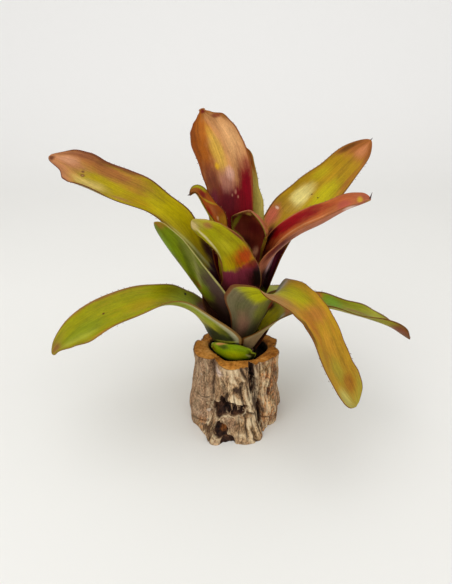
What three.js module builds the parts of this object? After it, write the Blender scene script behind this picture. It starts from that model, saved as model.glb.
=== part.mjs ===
// A neoregelia bromeliad growing in a short hollowed log.
//
// Millimetres, +Z up. The origin is the middle of the log's flat cut base, +X is to the
// right of the front, and the front faces -Y. Azimuths are in degrees, anticlockwise from
// +X seen from above, so 270 is the front.
//
// The log is one fluted piece of wood with a round pocket cut down from its top. A plug of
// growing medium fills the pocket, and the short tapered stem stands in a plain hole in it.
// Every leaf is a strap whose sheath clasps the stem: the lowest leaves clasp it lowest,
// so each sheath lies just inside the one below it, and its blade arches out above.

import * as THREE from "three";

// ---- Driving dimensions ----

const LOG_HEIGHT = 42;
const POCKET_RADIUS = 16;
const POCKET_FLOOR = 8;
const CUT_RIPPLE = 0.35; // how uneven the saw cut on top is
const BARK_RIDGE = 0.45; // depth of the shallow ridges that run up the bark
const BARK_SWELL = 0.4; // depth of the slow swellings that go round it
const FOOT_SPREAD = 1.6; // above 1 a lobe spreads only near the ground
const MEDIUM_TOP = 33.5;
const MEDIUM_LUMP = 0.5; // how lumpy the growing medium is on top
const FIT_GAP = 0.3; // between any two pieces that rest on each other

const STEM_FOOT = 14; // underside of the stem, in the medium
const STEM_COLLAR = 34; // where the lowest leaf clasps it
const STEM_TIP = 80;
const STEM_FOOT_RADIUS = 6.5;
const STEM_COLLAR_RADIUS = 9.2;
const STEM_TIP_RADIUS = 1.6;

const SHEATH_THICKNESS = 0.75;
const BLADE_THICKNESS = 0.95;
const MARGIN_THICKNESS = 0.62;
const SHEATH_FLARE = 0.3; // how far a sheath leans out for each millimetre it rises
const SHEATH_RISE = 12; // height over which every sheath keeps that lean
const LIFT_FLARE = 0.5; // how far a raised margin leans out for each millimetre it rises
const SHEATH_HALF = 22; // no sheath is wider than twice this
const ATTACH_STEP = 2.35; // height on the stem from one leaf to the next

const ROUND_TIP = 2.4;
const TIP_CURVE = 0.62; // 0.5 ends a blade in an ellipse, 1 in a point
const SPINE_HALF = 0.35; // half-width of the spine at the very tip
const SPINE_FLANK = 5; // how fast the spine widens into the blade
const NECK = 0.7; // the blade's width is counted from this share of the opening sheath
const SHOULDER = 0.4; // a raised margin stands highest this far through the opening

const STATIONS = 19; // rows of faces along a leaf
const STRIPS = 6; // faces across a leaf
const TIP_CROWDING = 1.4; // above 1 the rows lie closer together towards the tip

// ---- Small helpers ----

const radians = (degrees) => (degrees * Math.PI) / 180;
const mix = (a, b, t) => a + (b - a) * t;
const clamp = (x, low = 0, high = 1) => Math.min(high, Math.max(low, x));

function smoothstep(low, high, x) {
  const t = clamp((x - low) / (high - low));
  return t * t * (3 - 2 * t);
}

function polar(reach, azimuth, height) {
  const a = radians(azimuth);
  return new THREE.Vector3(reach * Math.cos(a), reach * Math.sin(a), height);
}

/** The signed turn from azimuth a to azimuth b, from -180 to 180 degrees. */
function turnBetween(a, b) {
  return ((((b - a) % 360) + 540) % 360) - 180;
}

/** A smooth dent or swelling, 1 in the middle and 0 from one width away. */
function hump(distance, width) {
  return 1 - smoothstep(0, 1, Math.abs(distance) / width);
}

// ---- Closed meshes made of rows of points ----

class Shell {
  constructor() {
    this.positions = [];
    this.faces = [];
  }

  point(p) {
    this.positions.push(p.x, p.y, p.z);
    return this.positions.length / 3 - 1;
  }

  row(points) {
    return points.map((p) => this.point(p));
  }

  /** Faces all round between two closed rows, facing out when b lies above an anticlockwise a. */
  bridge(a, b) {
    for (let i = 0; i < a.length; i += 1) {
      const j = (i + 1) % a.length;
      this.faces.push(a[i], a[j], b[j], a[i], b[j], b[i]);
    }
  }

  /** A fan that closes a ring around one point. */
  fan(ring, centre) {
    for (let i = 0; i < ring.length; i += 1) {
      this.faces.push(ring[i], ring[(i + 1) % ring.length], centre);
    }
  }

  geometry() {
    const geometry = new THREE.BufferGeometry();
    geometry.setAttribute("position", new THREE.Float32BufferAttribute(this.positions, 3));
    geometry.setIndex(this.faces);
    geometry.computeVertexNormals();
    return geometry;
  }
}

function piece(name, geometry, color, roughness) {
  const material = new THREE.MeshStandardMaterial({ color, roughness, metalness: 0 });
  const mesh = new THREE.Mesh(geometry, material);
  mesh.name = name;
  return mesh;
}

// ---- The log ----

// Each lobe is a fused trunk: the way it faces, how far out its middle is, its own radius,
// how much it spreads at the foot, and how much higher its cut top is than the log's.
const LOBES = [
  { at: 267, out: 13.5, radius: 12, foot: 3.2, rise: 1 },
  { at: 324, out: 13.2, radius: 10.5, foot: 1, rise: 0.6 },
  { at: 20, out: 11.6, radius: 10, foot: 4, rise: -1.6 },
  { at: 84, out: 12.2, radius: 11.5, foot: 2, rise: -1.6 },
  { at: 150, out: 11.5, radius: 10.2, foot: 2.4, rise: -0.8 },
  { at: 207, out: 14, radius: 11.2, foot: 2.2, rise: 1.6 },
];
const LOG_COLUMNS = 80;
const LOG_ROWS = 13;
const LOBE_BLEND = 26; // how sharply one lobe takes over from the next

// Toes spreading from the foot: azimuth, half-width in degrees, how far out and how tall.
const TOES = [
  { at: 241, wide: 26, out: 7, tall: 12 },
  { at: 281, wide: 28, out: 3.2, tall: 11 },
  { at: 299, wide: 16, out: 3.2, tall: 10 },
];

// Hollows in the bark: azimuth, height, half-width in degrees, half-height and depth. Where
// the depth is below 0 the bark swells.
const HOLLOWS = [
  { at: 244, height: 15.4, wide: 20, tall: 7.6, deep: 5 },
  { at: 250, height: 20, wide: 8, tall: 6, deep: 3.5 },
  { at: 262, height: 18, wide: 24, tall: 5.6, deep: 4.4 },
  { at: 251, height: 5.5, wide: 15, tall: 6, deep: 4.5 },
  { at: 259, height: 1.5, wide: 12, tall: 5, deep: 1.6 },
  { at: 286, height: 35, wide: 7, tall: 13, deep: 3 },
  { at: 300, height: 12, wide: 7, tall: 14, deep: 2.4 },
  { at: 112, height: 14, wide: 10, tall: 9, deep: 3 },
  { at: 203, height: 29, wide: 24, tall: 12, deep: 1.6 },
  { at: 203, height: 12, wide: 22, tall: 9, deep: -1.9 },
  { at: 262, height: 11, wide: 12, tall: 5, deep: -1 },
];

/** How far out a ray at this azimuth leaves one lobe's round section; 0 where it misses. */
function lobeReach(lobe, azimuth) {
  const turn = radians(turnBetween(lobe.at, azimuth));
  const across = lobe.out * Math.sin(turn);
  if (Math.cos(turn) <= 0 || Math.abs(across) >= lobe.radius) return 0;
  return lobe.out * Math.cos(turn) + Math.sqrt(lobe.radius ** 2 - across ** 2);
}

/** One value for the whole log, weighted towards the lobe that stands furthest out. */
function blendLobes(azimuth, value) {
  let total = 0;
  let weights = 0;
  for (const lobe of LOBES) {
    const weight = (lobeReach(lobe, azimuth) / 20) ** LOBE_BLEND;
    total += weight * value(lobe);
    weights += weight;
  }
  return total / weights;
}

function logTop(azimuth) {
  const ripple = CUT_RIPPLE * Math.sin(radians(azimuth * 7));
  return LOG_HEIGHT + blendLobes(azimuth, (lobe) => lobe.rise) + ripple;
}

function logRadius(azimuth, height) {
  const up = height / LOG_HEIGHT;
  const spread = (1 - up) ** FOOT_SPREAD;
  let radius = blendLobes(azimuth, (lobe) => lobeReach(lobe, azimuth) + lobe.foot * spread);
  radius += BARK_RIDGE * Math.sin(radians(azimuth * 9) + up * 5);
  radius += BARK_SWELL * Math.sin(radians(azimuth * 2) + up * 13);
  for (const toe of TOES) {
    const aside = hump(turnBetween(toe.at, azimuth), toe.wide);
    radius += toe.out * aside * hump(height, toe.tall);
  }
  for (const hollow of HOLLOWS) {
    const side = turnBetween(hollow.at, azimuth) / hollow.wide;
    const rise = (height - hollow.height) / hollow.tall;
    radius -= hollow.deep * hump(Math.hypot(side, rise), 1);
  }
  return radius;
}

function pocketRadius(azimuth) {
  return POCKET_RADIUS + CUT_RIPPLE * Math.sin(radians(azimuth * 3 + 40));
}

function ringAzimuths(count) {
  return Array.from({ length: count }, (_, i) => (i * 360) / count);
}

function logGeometry() {
  const shell = new Shell();
  const azimuths = ringAzimuths(LOG_COLUMNS);
  const rowAt = (place) => shell.row(azimuths.map(place));
  const rows = [];
  for (let i = 0; i <= LOG_ROWS; i += 1) {
    const up = i / LOG_ROWS;
    rows.push(rowAt((a) => polar(logRadius(a, up * LOG_HEIGHT), a, up * logTop(a))));
  }
  // The cut top dips a little towards the pocket.
  for (const [inwards, dip] of [[0.45, 0.5], [1, 1.2]]) {
    rows.push(rowAt((a) => {
      const reach = mix(logRadius(a, LOG_HEIGHT), pocketRadius(a), inwards);
      return polar(reach, a, logTop(a) - dip);
    }));
  }
  rows.push(rowAt((a) => polar(pocketRadius(a), a, mix(POCKET_FLOOR, LOG_HEIGHT, 0.5))));
  rows.push(rowAt((a) => polar(pocketRadius(a), a, POCKET_FLOOR)));
  for (let i = 1; i < rows.length; i += 1) shell.bridge(rows[i - 1], rows[i]);
  shell.fan(rows[rows.length - 1], shell.point(new THREE.Vector3(0, 0, POCKET_FLOOR)));
  shell.fan([...rows[0]].reverse(), shell.point(new THREE.Vector3(0, 0, 0)));
  return shell.geometry();
}

// ---- The growing medium and the stem ----

const MEDIUM_COLUMNS = 40;
const STEM_COLUMNS = 32;
const STEM_RING_STEP = 6;

function stemRadius(height) {
  const below = smoothstep(STEM_FOOT, STEM_COLLAR, height);
  if (height < STEM_COLLAR) return mix(STEM_FOOT_RADIUS, STEM_COLLAR_RADIUS, below);
  const above = (height - STEM_COLLAR) / (STEM_TIP - STEM_COLLAR);
  return mix(STEM_COLLAR_RADIUS, STEM_TIP_RADIUS, above);
}

function mediumGeometry() {
  const shell = new Shell();
  const azimuths = ringAzimuths(MEDIUM_COLUMNS);
  const holeRadius = STEM_COLLAR_RADIUS + FIT_GAP;
  const holeFloor = STEM_FOOT - FIT_GAP;
  const outer = (a) => pocketRadius(a) - FIT_GAP;
  const middle = (a) => mix(outer(a), holeRadius, 0.5);
  const lump = (a) => MEDIUM_LUMP * (Math.sin(radians(a * 5)) + Math.sin(radians(a * 11 + 30)) - 2);
  const rows = [
    azimuths.map((a) => polar(outer(a), a, POCKET_FLOOR + FIT_GAP)),
    azimuths.map((a) => polar(outer(a), a, MEDIUM_TOP + lump(a))),
    azimuths.map((a) => polar(middle(a), a, MEDIUM_TOP + lump(a + 25) / 2)),
    azimuths.map((a) => polar(holeRadius, a, MEDIUM_TOP - MEDIUM_LUMP)),
    azimuths.map((a) => polar(holeRadius, a, holeFloor)),
  ].map((points) => shell.row(points));
  for (let i = 1; i < rows.length; i += 1) shell.bridge(rows[i - 1], rows[i]);
  shell.fan(rows[rows.length - 1], shell.point(new THREE.Vector3(0, 0, holeFloor)));
  shell.fan([...rows[0]].reverse(), shell.point(new THREE.Vector3(0, 0, POCKET_FLOOR + FIT_GAP)));
  return shell.geometry();
}

function stemGeometry() {
  const profile = [new THREE.Vector2(0, STEM_FOOT)];
  for (let height = STEM_FOOT; height < STEM_TIP; height += STEM_RING_STEP) {
    profile.push(new THREE.Vector2(stemRadius(height), height));
  }
  profile.push(new THREE.Vector2(STEM_TIP_RADIUS, STEM_TIP));
  profile.push(new THREE.Vector2(0, STEM_TIP + STEM_TIP_RADIUS));
  const geometry = new THREE.LatheGeometry(profile, STEM_COLUMNS);
  geometry.rotateX(Math.PI / 2);
  return geometry;
}

// ---- Leaves ----

// Lowest and outermost first; each one clasps the stem ATTACH_STEP above the one before.
//   azimuth  the way the leaf faces; the third number of a route point swings from it
//   wrap     how far round the stem the sheath reaches to each side, in degrees
//   route    reach and height of points along the middle of the blade
//   half     half-width of the blade at its neck and at its widest, and where that is
//   channel  how deeply the blade is channelled at the neck and at the tip, in degrees
//   turn     how far the blade is turned about its own length at the neck and at the tip
//   lift     how far the clockwise and the anticlockwise margin stand up at the blade's neck
//   sheath   distances along the leaf where the sheath starts to open and ends as a blade
//   wave     how high the margins wave, and how many waves there are
//   taper    how full the tip is: 2.4 is round, 1.5 nearly straight-sided
//   flare    how far the sheath leans out for each millimetre it rises, if not as usual
//   edges    a share of the leaf's length, then how much of its half-width the clockwise
//            and the anticlockwise margin keep there
const LEAVES = [
  {
    name: "leaf_basal_scale", azimuth: 254, wrap: 58, sheath: [4, 12], flare: 0.6, colour: 0x86b000,
    route: [[18.6, 53, 0]],
    half: [13, 11.5, 0.2], channel: [42, 34], turn: [0, 0], taper: 3,
  },
  {
    name: "leaf_low_back_right", azimuth: 50, wrap: 48, sheath: [10, 36], flare: 0.55, colour: 0x8c9c2c,
    route: [[19.5, 56], [26, 59], [38, 58], [54, 52], [70, 43], [83, 34]],
    half: [9, 10, 0.45], channel: [38, 24], turn: [0, 0],
    wave: [0.7, 3],
  },
  {
    name: "leaf_low_left", azimuth: 200, wrap: 74, sheath: [14, 50], flare: 0.6, colour: 0x9aa81e,
    route: [[19, 58.3], [25, 67], [34, 72.7], [46, 74.8], [64, 71.5], [80, 65], [92, 56.4]],
    half: [9.5, 12, 0.4], channel: [42, 24], turn: [0, -30], taper: 2.1,
    lift: [0, 5], wave: [0.7, 3],
    edges: [
      [0.22, 1, 1], [0.32, 1.05, 0.86], [0.4, 1.14, 0.92], [0.5, 0.98, 1.12], [0.64, 1, 1.3],
      [0.78, 1, 1.2], [0.9, 1.02, 0.76], [0.97, 1.1, 0.5],
    ],
  },
  {
    name: "leaf_low_right", azimuth: 356, wrap: 82, sheath: [14, 46], flare: 0.55, colour: 0x8fa02a,
    route: [[18, 57.5], [24, 63.8], [34, 66.6], [46, 66.3], [62, 61.9], [78, 56.1], [89.2, 49]],
    half: [9.5, 10.5, 0.4], channel: [35, 20], turn: [-4, -24],
    wave: [0.6, 3],
    edges: [
      [0.4, 1, 1.1], [0.5, 0.95, 1.26], [0.62, 0.9, 1.15], [0.78, 1.2, 1.5], [0.9, 1.35, 1.75],
    ],
  },
  {
    name: "leaf_low_back", azimuth: 108, wrap: 74, sheath: [12, 44], flare: 0.45, colour: 0x8c9c2c,
    route: [[18, 64], [25, 72], [36, 77], [52, 78], [68, 72], [80, 62]],
    half: [9.5, 11, 0.45], channel: [38, 24], turn: [0, 0],
    wave: [0.8, 3],
  },
  {
    name: "leaf_front_drooping", azimuth: 314, wrap: 62, sheath: [20, 40], flare: 0.4, colour: 0xc8962a,
    route: [
      [16, 66], [20, 76], [26, 81.6], [34, 82.8], [43, 80.2], [50, 74.6, -1], [57, 66.6, -3],
      [64.5, 56, -2.8], [72.4, 44.4, -0.8],
    ],
    half: [9, 11, 0.5], channel: [10, 30], turn: [6, -8], taper: 5,
    lift: [16, 0], wave: [0.6, 3],
    edges: [
      [0.08, 1, 0.95], [0.16, 0.95, 0.84], [0.24, 1.05, 0.95], [0.31, 1.3, 1.55],
      [0.42, 1.55, 1.15], [0.5, 1.5, 0.98], [0.56, 1.24, 0.86], [0.62, 0.92, 0.82],
      [0.7, 0.78, 0.86], [0.82, 1.3, 0.96], [0.91, 1.35, 1.1], [0.96, 1.25, 1.15],
    ],
  },
  {
    name: "leaf_left_upright", azimuth: 201, wrap: 70, sheath: [22, 56], colour: 0x6f8f1c,
    route: [[16.3, 70], [23.9, 83], [32.1, 98], [40.2, 114]],
    half: [11, 10, 0.3], channel: [76, 50], turn: [14, 36],
    wave: [0.3, 2],
    edges: [
      [0.3, 1, 1], [0.5, 1.05, 1.04], [0.65, 1.06, 0.98], [0.82, 1.08, 0.93], [0.93, 1.05, 0.85],
    ],
  },
  {
    name: "leaf_high_right", azimuth: 36, wrap: 64, sheath: [16, 42], colour: 0xc09030,
    route: [[14.5, 76], [20, 90], [32, 103], [52, 117], [72, 129], [91, 140.5]],
    half: [10.5, 12, 0.4], channel: [40, 24], turn: [10, 38], taper: 2.2,
    wave: [0.8, 3],
    edges: [
      [0.12, 1, 1], [0.24, 0.79, 1], [0.4, 0.72, 1.12], [0.5, 0.88, 1.18], [0.62, 1.12, 1.06],
      [0.75, 1.1, 0.93], [0.9, 1.1, 1.1],
    ],
  },
  {
    name: "leaf_high_left", azimuth: 162, wrap: 66, sheath: [16, 44], colour: 0xb08a24,
    route: [[17, 83], [25, 96], [37, 108.3], [54, 117.5], [78, 126.4], [102, 135.2]],
    half: [9.5, 12, 0.55], channel: [45, 24], turn: [0, -32], taper: 2.4,
    wave: [0.9, 4],
    edges: [
      [0.36, 1, 1], [0.44, 1.15, 0.98], [0.53, 1.05, 1.02], [0.62, 1.12, 1.38], [0.7, 1.08, 1.74],
      [0.79, 1.03, 1.78], [0.87, 1.2, 1.25], [0.93, 1.3, 0.72],
    ],
  },
  {
    name: "leaf_front_short", azimuth: 268, wrap: 48, sheath: [20, 44], colour: 0xd0a01c,
    route: [[15.8, 86], [18.6, 95, -6], [21.6, 103, -15], [26, 110.5, -26], [32, 117.6, -38]],
    half: [10, 10.2, 0.15], channel: [50, 40], turn: [0, 0], taper: 2.6,
    wave: [0.4, 2],
    edges: [
      [0.3, 1, 1], [0.45, 0.66, 1], [0.7, 0.58, 0.93], [0.85, 0.68, 0.85], [0.93, 0.85, 0.8],
      [0.975, 1.15, 0.75],
    ],
  },
  {
    name: "leaf_right_channelled", azimuth: 346, wrap: 48, sheath: [24, 46], colour: 0xb05a3c,
    route: [[14, 86], [17, 95], [22, 101.5], [29, 107.5], [38, 113], [48, 120], [57.6, 123.9]],
    half: [12, 12, 0.4], channel: [62, 44], turn: [10, 8], taper: 4.5,
    wave: [0.4, 2],
    edges: [
      [0.2, 1, 1], [0.34, 0.94, 1], [0.5, 0.96, 1], [0.7, 1, 1], [0.84, 0.95, 0.86],
      [0.94, 0.98, 0.84],
    ],
  },
  {
    name: "leaf_behind_tall", azimuth: 84, wrap: 54, sheath: [20, 42], colour: 0x9a8a2c,
    route: [[14.5, 90], [18.5, 108], [25.2, 126], [31, 139.5]],
    half: [9, 9.5, 0.45], channel: [40, 26], turn: [0, 0],
    wave: [0.4, 2],
    edges: [
      [0.2, 1, 1], [0.36, 0.92, 1], [0.5, 1.4, 1], [0.65, 1.25, 1], [0.78, 0.9, 1], [0.9, 0.8, 1],
    ],
  },
  {
    name: "leaf_tall_back", azimuth: 106, wrap: 60, sheath: [20, 44], colour: 0xa0502c,
    route: [
      [12.8, 90], [15, 112], [17.5, 126, 1], [21, 135, 4], [27, 143.5, 8], [33.5, 150.3, 11],
      [37.2, 157.6, 14],
    ],
    half: [12, 13.5, 0.5], channel: [40, 24], turn: [0, 0], taper: 3.4,
    wave: [0.6, 3],
    edges: [
      [0.3, 1, 1], [0.45, 0.92, 1], [0.58, 0.88, 0.94], [0.68, 0.9, 1.16], [0.8, 0.93, 1.19],
      [0.88, 1, 1.1], [0.94, 1.07, 0.95], [0.972, 0.68, 0.66], [0.988, 0.45, 0.45],
    ],
  },
  {
    name: "leaf_small_curled", azimuth: 174, wrap: 38, sheath: [8, 30], colour: 0xc07030,
    route: [[9.5, 88], [10, 99], [12.6, 110.5], [16.4, 118], [20, 123.4], [23.6, 121.8]],
    half: [8, 7.6, 0.3], channel: [60, 60], turn: [-10, -20], taper: 3.4,
    edges: [[0.6, 1, 1], [0.7, 1.1, 1.1], [0.8, 0.85, 0.85]],
  },
  {
    name: "leaf_heart", azimuth: 52, wrap: 68, sheath: [16, 36], colour: 0x3c0c18,
    route: [[10, 88], [11.8, 100], [11.5, 108.5], [8, 113.5]],
    half: [15, 16.5, 0.4], channel: [74, 56], turn: [0, 0], taper: 7,
    edges: [[0.5, 1, 0.95], [0.7, 1.25, 0.7], [0.92, 1.35, 0.72]],
  },
];

/** The middle line of a leaf: up the stem in its sheath, then along the blade's route. */
function leafLine(leaf, rank) {
  const foot = STEM_COLLAR + 1 + rank * ATTACH_STEP;
  const reach = stemRadius(foot) + FIT_GAP + SHEATH_THICKNESS / 2;
  const points = [polar(reach, leaf.azimuth, foot)];
  const { flare = SHEATH_FLARE } = leaf;
  points.push(polar(reach + flare * SHEATH_RISE, leaf.azimuth, foot + SHEATH_RISE));
  for (const [out, height, swing = 0] of leaf.route) {
    points.push(polar(out, leaf.azimuth + swing, height));
  }
  return new THREE.CatmullRomCurve3(points, false, "catmullrom", 0.5);
}

/** Half-width of the blade, t running from the neck (0) to the tip (1). */
function bladeHalf(leaf, t) {
  const [neck, belly, widest] = leaf.half;
  const body = mix(neck, belly, smoothstep(0, widest, t));
  if (t <= widest) return body;
  const towardsTip = (t - widest) / (1 - widest);
  const { taper = ROUND_TIP } = leaf;
  const spine = SPINE_HALF + SPINE_FLANK * (1 - towardsTip);
  return Math.max(body * (1 - towardsTip ** taper) ** TIP_CURVE, spine);
}

/** How much of its half-width a margin keeps at share u of the leaf: 1 clockwise, 2 anti. */
function edgeShare(leaf, u, margin) {
  const rows = [[0, 1, 1], ...(leaf.edges ?? []), [1, 1, 1]];
  const next = Math.max(rows.findIndex((row) => row[0] > u), 1);
  const last = u >= 1 ? rows.length - 1 : next;
  const [from, to] = [rows[last - 1], rows[last]];
  return mix(from[margin], to[margin], smoothstep(from[0], to[0], u));
}

/** The middle surface of a leaf as a grid of points, rows along it and columns across. */
function leafGrid(leaf, rank) {
  const line = leafLine(leaf, rank);
  const length = line.getLength();
  const outwards = polar(1, leaf.azimuth, 0);
  const sideways = polar(1, leaf.azimuth + 90, 0);
  const [opens, ends] = leaf.sheath;
  const grid = [];
  for (let i = 0; i <= STATIONS; i += 1) {
    const u = 1 - (1 - i / STATIONS) ** TIP_CROWDING;
    const centre = line.getPointAt(u);
    const tangent = line.getTangentAt(u);
    const along = u * length;
    const open = smoothstep(opens, ends, along);
    const t = clamp((along - ends * NECK) / (length - ends * NECK));
    const reach = Math.hypot(centre.x, centre.y);
    const clasp = Math.min(reach * radians(leaf.wrap), SHEATH_HALF);
    const half = mix(clasp, bladeHalf(leaf, t), open);
    const channel = radians(mix(leaf.channel[0], leaf.channel[1], t));
    const bend = mix(half / reach, channel, open);
    const turn = radians(mix(leaf.turn[0], leaf.turn[1], t)) * open ** 2;
    const across = sideways.clone().addScaledVector(tangent, -sideways.dot(tangent)).normalize();
    across.applyAxisAngle(tangent, turn);
    const over = new THREE.Vector3().crossVectors(tangent, across);
    const inner = outwards.clone().negate().lerp(over, open).normalize();
    const radius = half / bend;
    const { lift = [0, 0], wave = [0, 0] } = leaf;
    const calm = open * smoothstep(0, 0.06, 1 - u);
    const shoulder = hump(along - mix(opens, ends, SHOULDER), ends - opens);
    const row = [];
    for (let j = 0; j <= STRIPS; j += 1) {
      const side = (j / STRIPS) * 2 - 1;
      const angle = side * bend * edgeShare(leaf, u, side < 0 ? 1 : 2);
      const p = centre.clone();
      p.addScaledVector(across, radius * Math.sin(angle));
      p.addScaledVector(inner, radius * (1 - Math.cos(angle)));
      const risen = new THREE.Vector3(p.x, p.y, 0).setLength(LIFT_FLARE).setZ(1);
      p.addScaledVector(risen, lift[side < 0 ? 0 : 1] * side ** 2 * shoulder);
      const ripple = Math.sin(u * wave[1] * 2 * Math.PI + side * 1.3) * side ** 2 * calm;
      p.addScaledVector(inner, wave[0] * ripple * Math.cos(angle));
      p.addScaledVector(across, -wave[0] * ripple * Math.sin(angle));
      row.push(p);
    }
    grid.push(row);
  }
  return grid;
}

/** The unit normal of a grid's surface at one point, towards the leaf's upper side. */
function gridNormal(grid, i, j) {
  const ahead = grid[Math.min(i + 1, STATIONS)][j];
  const behind = grid[Math.max(i - 1, 0)][j];
  const left = grid[i][Math.max(j - 1, 0)];
  const right = grid[i][Math.min(j + 1, STRIPS)];
  const along = new THREE.Vector3().subVectors(ahead, behind);
  const across = new THREE.Vector3().subVectors(right, left);
  return new THREE.Vector3().crossVectors(along, across).normalize();
}

function leafGeometry(leaf, rank) {
  const shell = new Shell();
  const grid = leafGrid(leaf, rank);
  const loops = grid.map((row, i) => {
    const body = mix(SHEATH_THICKNESS, BLADE_THICKNESS, smoothstep(0.2, 0.5, i / STATIONS));
    const side = (sign) => row.map((p, j) => {
      const edge = Math.abs((j / STRIPS) * 2 - 1);
      const thickness = mix(body, MARGIN_THICKNESS, edge ** 2);
      return p.clone().addScaledVector(gridNormal(grid, i, j), (sign * thickness) / 2);
    });
    return shell.row([...side(-1), ...side(1).reverse()]);
  });
  for (let i = 1; i < loops.length; i += 1) shell.bridge(loops[i - 1], loops[i]);
  capLeafEnd(shell, loops[0], true);
  capLeafEnd(shell, loops[loops.length - 1], false);
  return shell.geometry();
}

/** Closes an end of a leaf with strips from its outer face to its inner face. */
function capLeafEnd(shell, loop, atFoot) {
  for (let j = 0; j < STRIPS; j += 1) {
    const [a, b] = [loop[j], loop[j + 1]];
    const [c, d] = [loop[loop.length - 2 - j], loop[loop.length - 1 - j]];
    if (atFoot) shell.faces.push(a, d, c, a, c, b);
    else shell.faces.push(a, c, d, a, b, c);
  }
}

// ---- The whole plant ----

const bromeliad = new THREE.Group();
bromeliad.add(piece("wood_log", logGeometry(), 0x8a6a50, 0.9));
bromeliad.add(piece("growing_medium", mediumGeometry(), 0x2a1e16, 1));
bromeliad.add(piece("stem", stemGeometry(), 0x5a4a2c, 0.8));
LEAVES.forEach((leaf, rank) => {
  bromeliad.add(piece(leaf.name, leafGeometry(leaf, rank), leaf.colour, 0.4));
});

export default bromeliad;
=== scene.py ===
"""A neoregelia bromeliad growing in a short hollowed log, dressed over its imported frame.

Metres, +Z up, the front faces -Y. The tables are in millimetres and degrees, and MM turns
them into metres. Azimuths run anticlockwise from +X seen from above, so 270 is the front.
"""

import math
from functools import partialmethod

import bpy
import numpy as np
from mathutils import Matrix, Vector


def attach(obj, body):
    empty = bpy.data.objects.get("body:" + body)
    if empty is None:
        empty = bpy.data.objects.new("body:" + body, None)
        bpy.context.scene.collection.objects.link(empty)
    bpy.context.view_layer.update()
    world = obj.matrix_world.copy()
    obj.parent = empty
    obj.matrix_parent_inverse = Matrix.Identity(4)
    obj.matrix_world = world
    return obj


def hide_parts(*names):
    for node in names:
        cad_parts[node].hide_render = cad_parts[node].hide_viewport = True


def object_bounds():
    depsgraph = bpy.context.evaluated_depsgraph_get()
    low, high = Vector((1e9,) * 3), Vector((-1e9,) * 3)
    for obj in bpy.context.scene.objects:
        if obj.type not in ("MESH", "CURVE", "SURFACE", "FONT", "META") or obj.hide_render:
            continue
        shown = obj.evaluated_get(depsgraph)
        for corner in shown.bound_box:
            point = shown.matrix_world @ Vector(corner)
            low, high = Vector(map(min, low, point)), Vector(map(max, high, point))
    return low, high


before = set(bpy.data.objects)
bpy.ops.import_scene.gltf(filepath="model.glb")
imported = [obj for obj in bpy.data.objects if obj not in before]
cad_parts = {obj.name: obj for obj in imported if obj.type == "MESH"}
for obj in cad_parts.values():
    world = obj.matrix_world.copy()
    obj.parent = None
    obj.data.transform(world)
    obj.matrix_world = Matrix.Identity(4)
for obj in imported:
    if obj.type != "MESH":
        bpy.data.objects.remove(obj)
cad_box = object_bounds()

MM = 0.001

# ---- The log, the medium and the stem, as they are cut ----

LOG_HEIGHT = 42
POCKET_RADIUS = 16
POCKET_FLOOR = 8
CUT_RIPPLE = 0.35
BARK_RIDGE = 0.45
BARK_SWELL = 0.4
FOOT_SPREAD = 1.6
MEDIUM_TOP = 33.5
MEDIUM_FOOT = 8.3
STEM_HOLE = 9.5
STEM_HOLE_FLOOR = 13.7
LUMP_HEIGHT = 0.5
CHIPS_ABOVE = 31.0
FIT_GAP = 0.3

# Each lobe is a fused trunk: the way it faces, how far out its middle is, its radius, its
# spread at the foot and the rise of its cut top. Then how pale, ruddy and ridged its bark is.
LOBES = [
    dict(at=267, out=13.5, radius=12, foot=3.2, rise=1, pale=0.45, ruddy=0.1, ridged=0.4),
    dict(at=324, out=13.2, radius=10.5, foot=1, rise=0.6, pale=0.4, ruddy=0.85, ridged=0.4),
    dict(at=20, out=11.6, radius=10, foot=4, rise=-1.6, pale=0.35, ruddy=0.6, ridged=0.6),
    dict(at=84, out=12.2, radius=11.5, foot=2, rise=-1.6, pale=0.5, ruddy=0.3, ridged=0.7),
    dict(at=150, out=11.5, radius=10.2, foot=2.4, rise=-0.8, pale=0.3, ruddy=0.2, ridged=0.6),
    dict(at=207, out=14, radius=11.2, foot=2.2, rise=1.6, pale=0.15, ruddy=0.1, ridged=0.15),
]
LOBE_BLEND = 26

# Toes spreading from the foot: azimuth, half-width in degrees, how far out and how tall.
TOES = [(241, 26, 7, 12), (281, 28, 3.2, 11), (299, 16, 3.2, 10)]
# Hollows: azimuth, height, half-width in degrees, half-height, depth and how dark they are, that darkness
# being painted shade over the torn wood.
# A depth below 0 swells.
HOLLOWS = [
    (244, 15.4, 20, 7.6, 5, 1.0), (250, 20, 8, 6, 3.5, 1.0), (262, 18, 24, 5.6, 4.4, 1.0),
    (251, 5.5, 15, 6, 4.5, 1.0), (259, 1.5, 12, 5, 1.6, 0.9), (286, 35, 7, 13, 3, 0.75),
    (300, 12, 7, 14, 2.4, 0.7), (112, 14, 10, 9, 3, 0.9), (203, 29, 24, 12, 1.6, 0),
    (203, 12, 22, 9, -1.9, 0), (262, 11, 12, 5, -1, 0),
]

STEM_FOOT = 14
STEM_COLLAR = 34
STEM_TIP = 80
STEM_FOOT_RADIUS = 6.5
STEM_COLLAR_RADIUS = 9.2
STEM_TIP_RADIUS = 1.6

# ---- The leaves, as they grow ----

SHEATH_THICKNESS = 0.75
BLADE_THICKNESS = 0.85
MARGIN_THICKNESS = 0.3
SHEATH_FLARE = 0.3
SHEATH_RISE = 12
LIFT_FLARE = 0.5
SHEATH_HALF = 22
ATTACH_STEP = 2.35
ROUND_TIP = 2.4
TIP_CURVE = 0.62
TIP_HALF = 0.04
SPINE_HALF = 0.35
SPINE_FLANK = 5
NECK = 0.7
SHOULDER = 0.4
WAVE_SLANT = 1.3
SPAN_POINTS = 60
STATIONS = 110
STRIPS = 26
TIP_CROWDING = 1.25

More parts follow.
